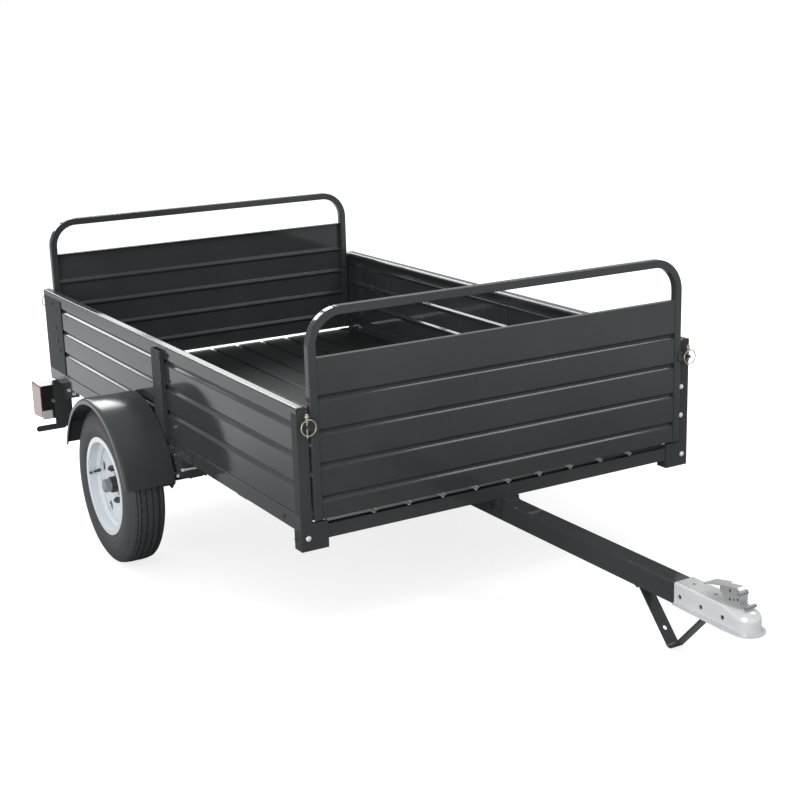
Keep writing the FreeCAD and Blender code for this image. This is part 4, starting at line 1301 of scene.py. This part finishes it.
LAMP_Y = BED_LENGTH - 0.050
LAMP_FRONT = LAMP_Y + PLATE
LAMP_NUTS = ((0.700, LAMP_FRONT, -0.051), (0.650, LAMP_Y, -0.050))
BRACKET_BOLTS = ((0.660, 2.011, 0.005), (0.660, 1.950, 0.004))
WINDOW = (0.040, 0.005, 0.034)
WINDOW_PLACE = (-0.728, LAMP_FRONT - 0.0012, -0.1035)
WINDOW_STEPS = ((0.0030, 0.0012),)


def plate_window():
    """The clear window over the number plate, under the left lamp's side."""
    def front(centre, normal):
        return normal.y < -0.9

    window = stepped(new_box(WINDOW, WINDOW_PLACE), WINDOW_STEPS, front)
    edit(window)
    pick_faces(window, front)
    bpy.ops.mesh.subdivide(number_cuts=5)
    bpy.ops.object.mode_set(mode="OBJECT")
    return smooth(bevel(window, 0.0006))


class TRAILER_OT_lamps(Operator):
    """Fit the lamps' nuts, bracket bolts and number plate window"""

    bl_idname = "trailer.lamps"
    bl_label = "Rear Lamps"

    def execute(self, context):
        nut = hex_bolt(0.011, 1.5, 0.004)
        for side, word in SIDES:
            fastened(nut, [((side * x, y - 0.0001, z), FORWARD) for x, y, z in LAMP_NUTS],
                     "lamp_nuts_" + word, "zinc_steel", "worn_zinc")
            fastened(nut, [((side * x, y, z), OUTWARD[side]) for x, y, z in BRACKET_BOLTS],
                     "bracket_bolts_" + word, "zinc_steel")
        discard(nut)
        settle(plate_window(), "plate_window_left", "chassis",
               material_for("clear_lens"))
        return {"FINISHED"}


# Studio

# The camera as measured on the photograph, in the level trailer's frame.
EYE = Vector((-2.361, -3.404, 1.420))
AZIMUTH = -30.4101
ELEVATION = 15.107
ROLL = -1.6619
# The floor's grey and its brightness in reflections, near the trailer and far from it; both are
# lower near the trailer, a painted shadow round it.
FLOOR_NEAR_SHADOW = (0.32, 0.32, 0.32, 1)
FLOOR_FAR = (0.50, 0.50, 0.50, 1)
NEAR_REACH = 1.6
FAR_REACH = 3.2
FAR_GLOSS = 0.44
FLOOR_SEEN = 0.80
GLOSS_TINT = (0.86, 0.95, 1, 1)
# Soft lights: name, place in the level frame, size in metres and power in watts.
SOFTBOXES = (
    ("overhead_softbox", (-0.6, 0.2, 4.2), (4.5, 5.5), 12),
    ("right_softbox", (2.8, -1.2, 4.2), (1.2, 1.6), 42),
    ("left_softbox", (-4.6, -2.2, 1.5), (3.2, 2.4), 95),
    ("high_back_softbox", (1.4, 7.5, 5.2), (2.0, 3.2), 230),
    ("high_left_softbox", (-1.3, 7.5, 4.8), (2.2, 2.6), 190),
    ("back_softbox", (1.5, 8.1, 2.6), (3.4, 1.8), 46),
    ("low_back_softbox", (-1.7, 9.0, 3.1), (2.0, 1.4), 62),
    ("mid_back_softbox", (-2.1, 9.0, 4.7), (1.6, 1.6), 26),
)
LIGHT_AIM = Vector((0, 1.0, 0.2))


def make_camera(settings):
    az, el, roll = (math.radians(a) for a in (AZIMUTH, ELEVATION, ROLL))
    back = Vector((math.sin(az) * math.cos(el), -math.cos(az) * math.cos(el), math.sin(el)))
    right = Vector((math.cos(az), math.sin(az), 0))
    up = back.cross(right)
    right, up = (right * math.cos(roll) + up * math.sin(roll),
                 up * math.cos(roll) - right * math.sin(roll))
    turn = Matrix((right, up, back)).transposed().to_4x4()
    deselect()
    bpy.ops.object.camera_add()
    camera = bpy.context.object
    camera.name = "photo_camera"
    camera.matrix_world = LEVEL @ Matrix.Translation(EYE) @ turn
    camera.data.sensor_width = 36.0
    camera.data.lens = settings.lens
    camera.data.clip_start = 0.05
    camera.data.clip_end = 500.0
    bpy.context.scene.camera = camera


def make_floor(settings):
    """A pale floor, white to the camera, greyer near the trailer: a painted shadow that reflections
    see darker.
    """
    deselect()
    bpy.ops.mesh.primitive_plane_add(size=settings.floor_size, location=(0, 0, -0.0005))
    floor = bpy.context.object
    floor.name = "studio_floor"
    material = new_material("Studio Floor")
    tree, shader = shader_in(material)
    set_inputs(shader, {"Roughness": 0.9, "Specular IOR Level": 0.1})
    place = new_node(tree, "ShaderNodeTexCoord")
    reach = new_node(tree, "ShaderNodeVectorMath", operation="LENGTH")
    spread = new_node(tree, "ShaderNodeMapRange", {"From Min": NEAR_REACH, "From Max": FAR_REACH},
                      interpolation_type="SMOOTHSTEP")
    # Painted shadow: the floor's grey and its glow in reflections fall away near the trailer.
    grey = new_node(tree, "ShaderNodeMix", {"A": FLOOR_NEAR_SHADOW, "B": FLOOR_FAR}, data_type="RGBA")
    path = new_node(tree, "ShaderNodeLightPath")
    gloss_shadow = new_node(tree, "ShaderNodeMapRange", {"To Min": 0.0, "To Max": FAR_GLOSS})
    seen = new_node(tree, "ShaderNodeMath", operation="MULTIPLY")
    glow = new_node(tree, "ShaderNodeMath", {1: FLOOR_SEEN}, operation="MULTIPLY_ADD")
    cast = new_node(tree, "ShaderNodeMix", {"A": (1, 1, 1, 1), "B": GLOSS_TINT}, data_type="RGBA")
    wire(tree,
         (place, "Object", reach, 0),
         (reach, "Value", spread, "Value"),
         (spread, "Result", grey, "Factor"),
         (grey, "Result", shader, "Base Color"),
         (spread, "Result", gloss_shadow, "Value"),
         (path, "Is Glossy Ray", seen, 0),
         (gloss_shadow, "Result", seen, 1),
         (path, "Is Camera Ray", glow, 0),
         (seen, "Value", glow, 2),
         (path, "Is Glossy Ray", cast, "Factor"),
         (cast, "Result", shader, "Emission Color"),
         (glow, "Value", shader, "Emission Strength"))
    floor.data.materials.append(material)


def make_sky(settings):
    """Even light from all round, white to the camera and through glass."""
    world = bpy.data.worlds.new("Studio")
    bpy.context.scene.world = world
    world.use_nodes = True
    tree = world.node_tree
    background = tree.nodes["Background"]
    set_inputs(background, {"Color": (1, 1, 1, 1)})
    path = new_node(tree, "ShaderNodeLightPath")
    seen = new_node(tree, "ShaderNodeMath", operation="MAXIMUM")
    shiny = new_node(tree, "ShaderNodeMapRange", {
        "To Min": settings.sky_fill, "To Max": settings.sky_gloss})
    strength = new_node(tree, "ShaderNodeMix", {"B": 1.0})
    wire(tree,
         (path, "Is Camera Ray", seen, 0),
         (path, "Is Transmission Ray", seen, 1),
         (path, "Is Glossy Ray", shiny, "Value"),
         (seen, "Value", strength, "Factor"),
         (shiny, "Result", strength, "A"),
         (strength, "Result", background, "Strength"))


def make_softboxes():
    for name, place, size, power in SOFTBOXES:
        deselect()
        bpy.ops.object.light_add(type="AREA")
        lamp = bpy.context.object
        lamp.name = name
        lamp.data.shape = "RECTANGLE"
        lamp.data.size, lamp.data.size_y = size
        lamp.data.energy = power
        lamp.visible_camera = False
        aim = (LIGHT_AIM - Vector(place)).to_track_quat("-Z", "Y").to_matrix().to_4x4()
        lamp.matrix_world = LEVEL @ Matrix.Translation(place) @ aim


class TRAILER_OT_stage(Operator):
    """Set up the camera, floor and soft studio light"""

    bl_idname = "trailer.stage"
    bl_label = "Studio"

    def execute(self, context):
        settings = context.scene.trailer_stage
        context.scene.view_settings.view_transform = "Standard"
        make_camera(settings)
        make_floor(settings)
        make_sky(settings)
        make_softboxes()
        return {"FINISHED"}


# Panel and registration


class TRAILER_PT_panel(Panel):
    """Steps of the trailer's finish"""

    bl_idname = "TRAILER_PT_panel"
    bl_label = "Trailer"
    bl_space_type = "VIEW_3D"
    bl_region_type = "UI"
    bl_category = "Trailer"

    def draw(self, context):
        scene = context.scene
        for step in STEPS:
            self.layout.operator(step.bl_idname)
        for group in (scene.trailer_finish, scene.trailer_parts, scene.trailer_stage):
            for name in group.__annotations__:
                self.layout.prop(group, name)


STEPS = (TRAILER_OT_frame_finish, TRAILER_OT_top_rails, TRAILER_OT_fasteners,
         TRAILER_OT_gate_pins, TRAILER_OT_tyres, TRAILER_OT_rims, TRAILER_OT_coupler,
         TRAILER_OT_lamps, TRAILER_OT_stage)
CLASSES = (TrailerFinish, TrailerParts, TrailerStage, *STEPS, TRAILER_PT_panel)


def register():
    for cls in CLASSES:
        bpy.utils.register_class(cls)
    bpy.types.Scene.trailer_finish = PointerProperty(type=TrailerFinish)
    bpy.types.Scene.trailer_parts = PointerProperty(type=TrailerParts)
    bpy.types.Scene.trailer_stage = PointerProperty(type=TrailerStage)


def unregister():
    del bpy.types.Scene.trailer_finish
    del bpy.types.Scene.trailer_parts
    del bpy.types.Scene.trailer_stage
    for cls in reversed(CLASSES):
        bpy.utils.unregister_class(cls)


def main():
    register()
    bpy.ops.trailer.frame_finish()
    bpy.ops.trailer.top_rails()
    bpy.ops.trailer.fasteners()
    bpy.ops.trailer.gate_pins()
    bpy.ops.trailer.tyres()
    bpy.ops.trailer.rims()
    bpy.ops.trailer.coupler()
    bpy.ops.trailer.lamps()
    bpy.ops.trailer.stage()
    deselect()


if __name__ == "__main__":
    main()
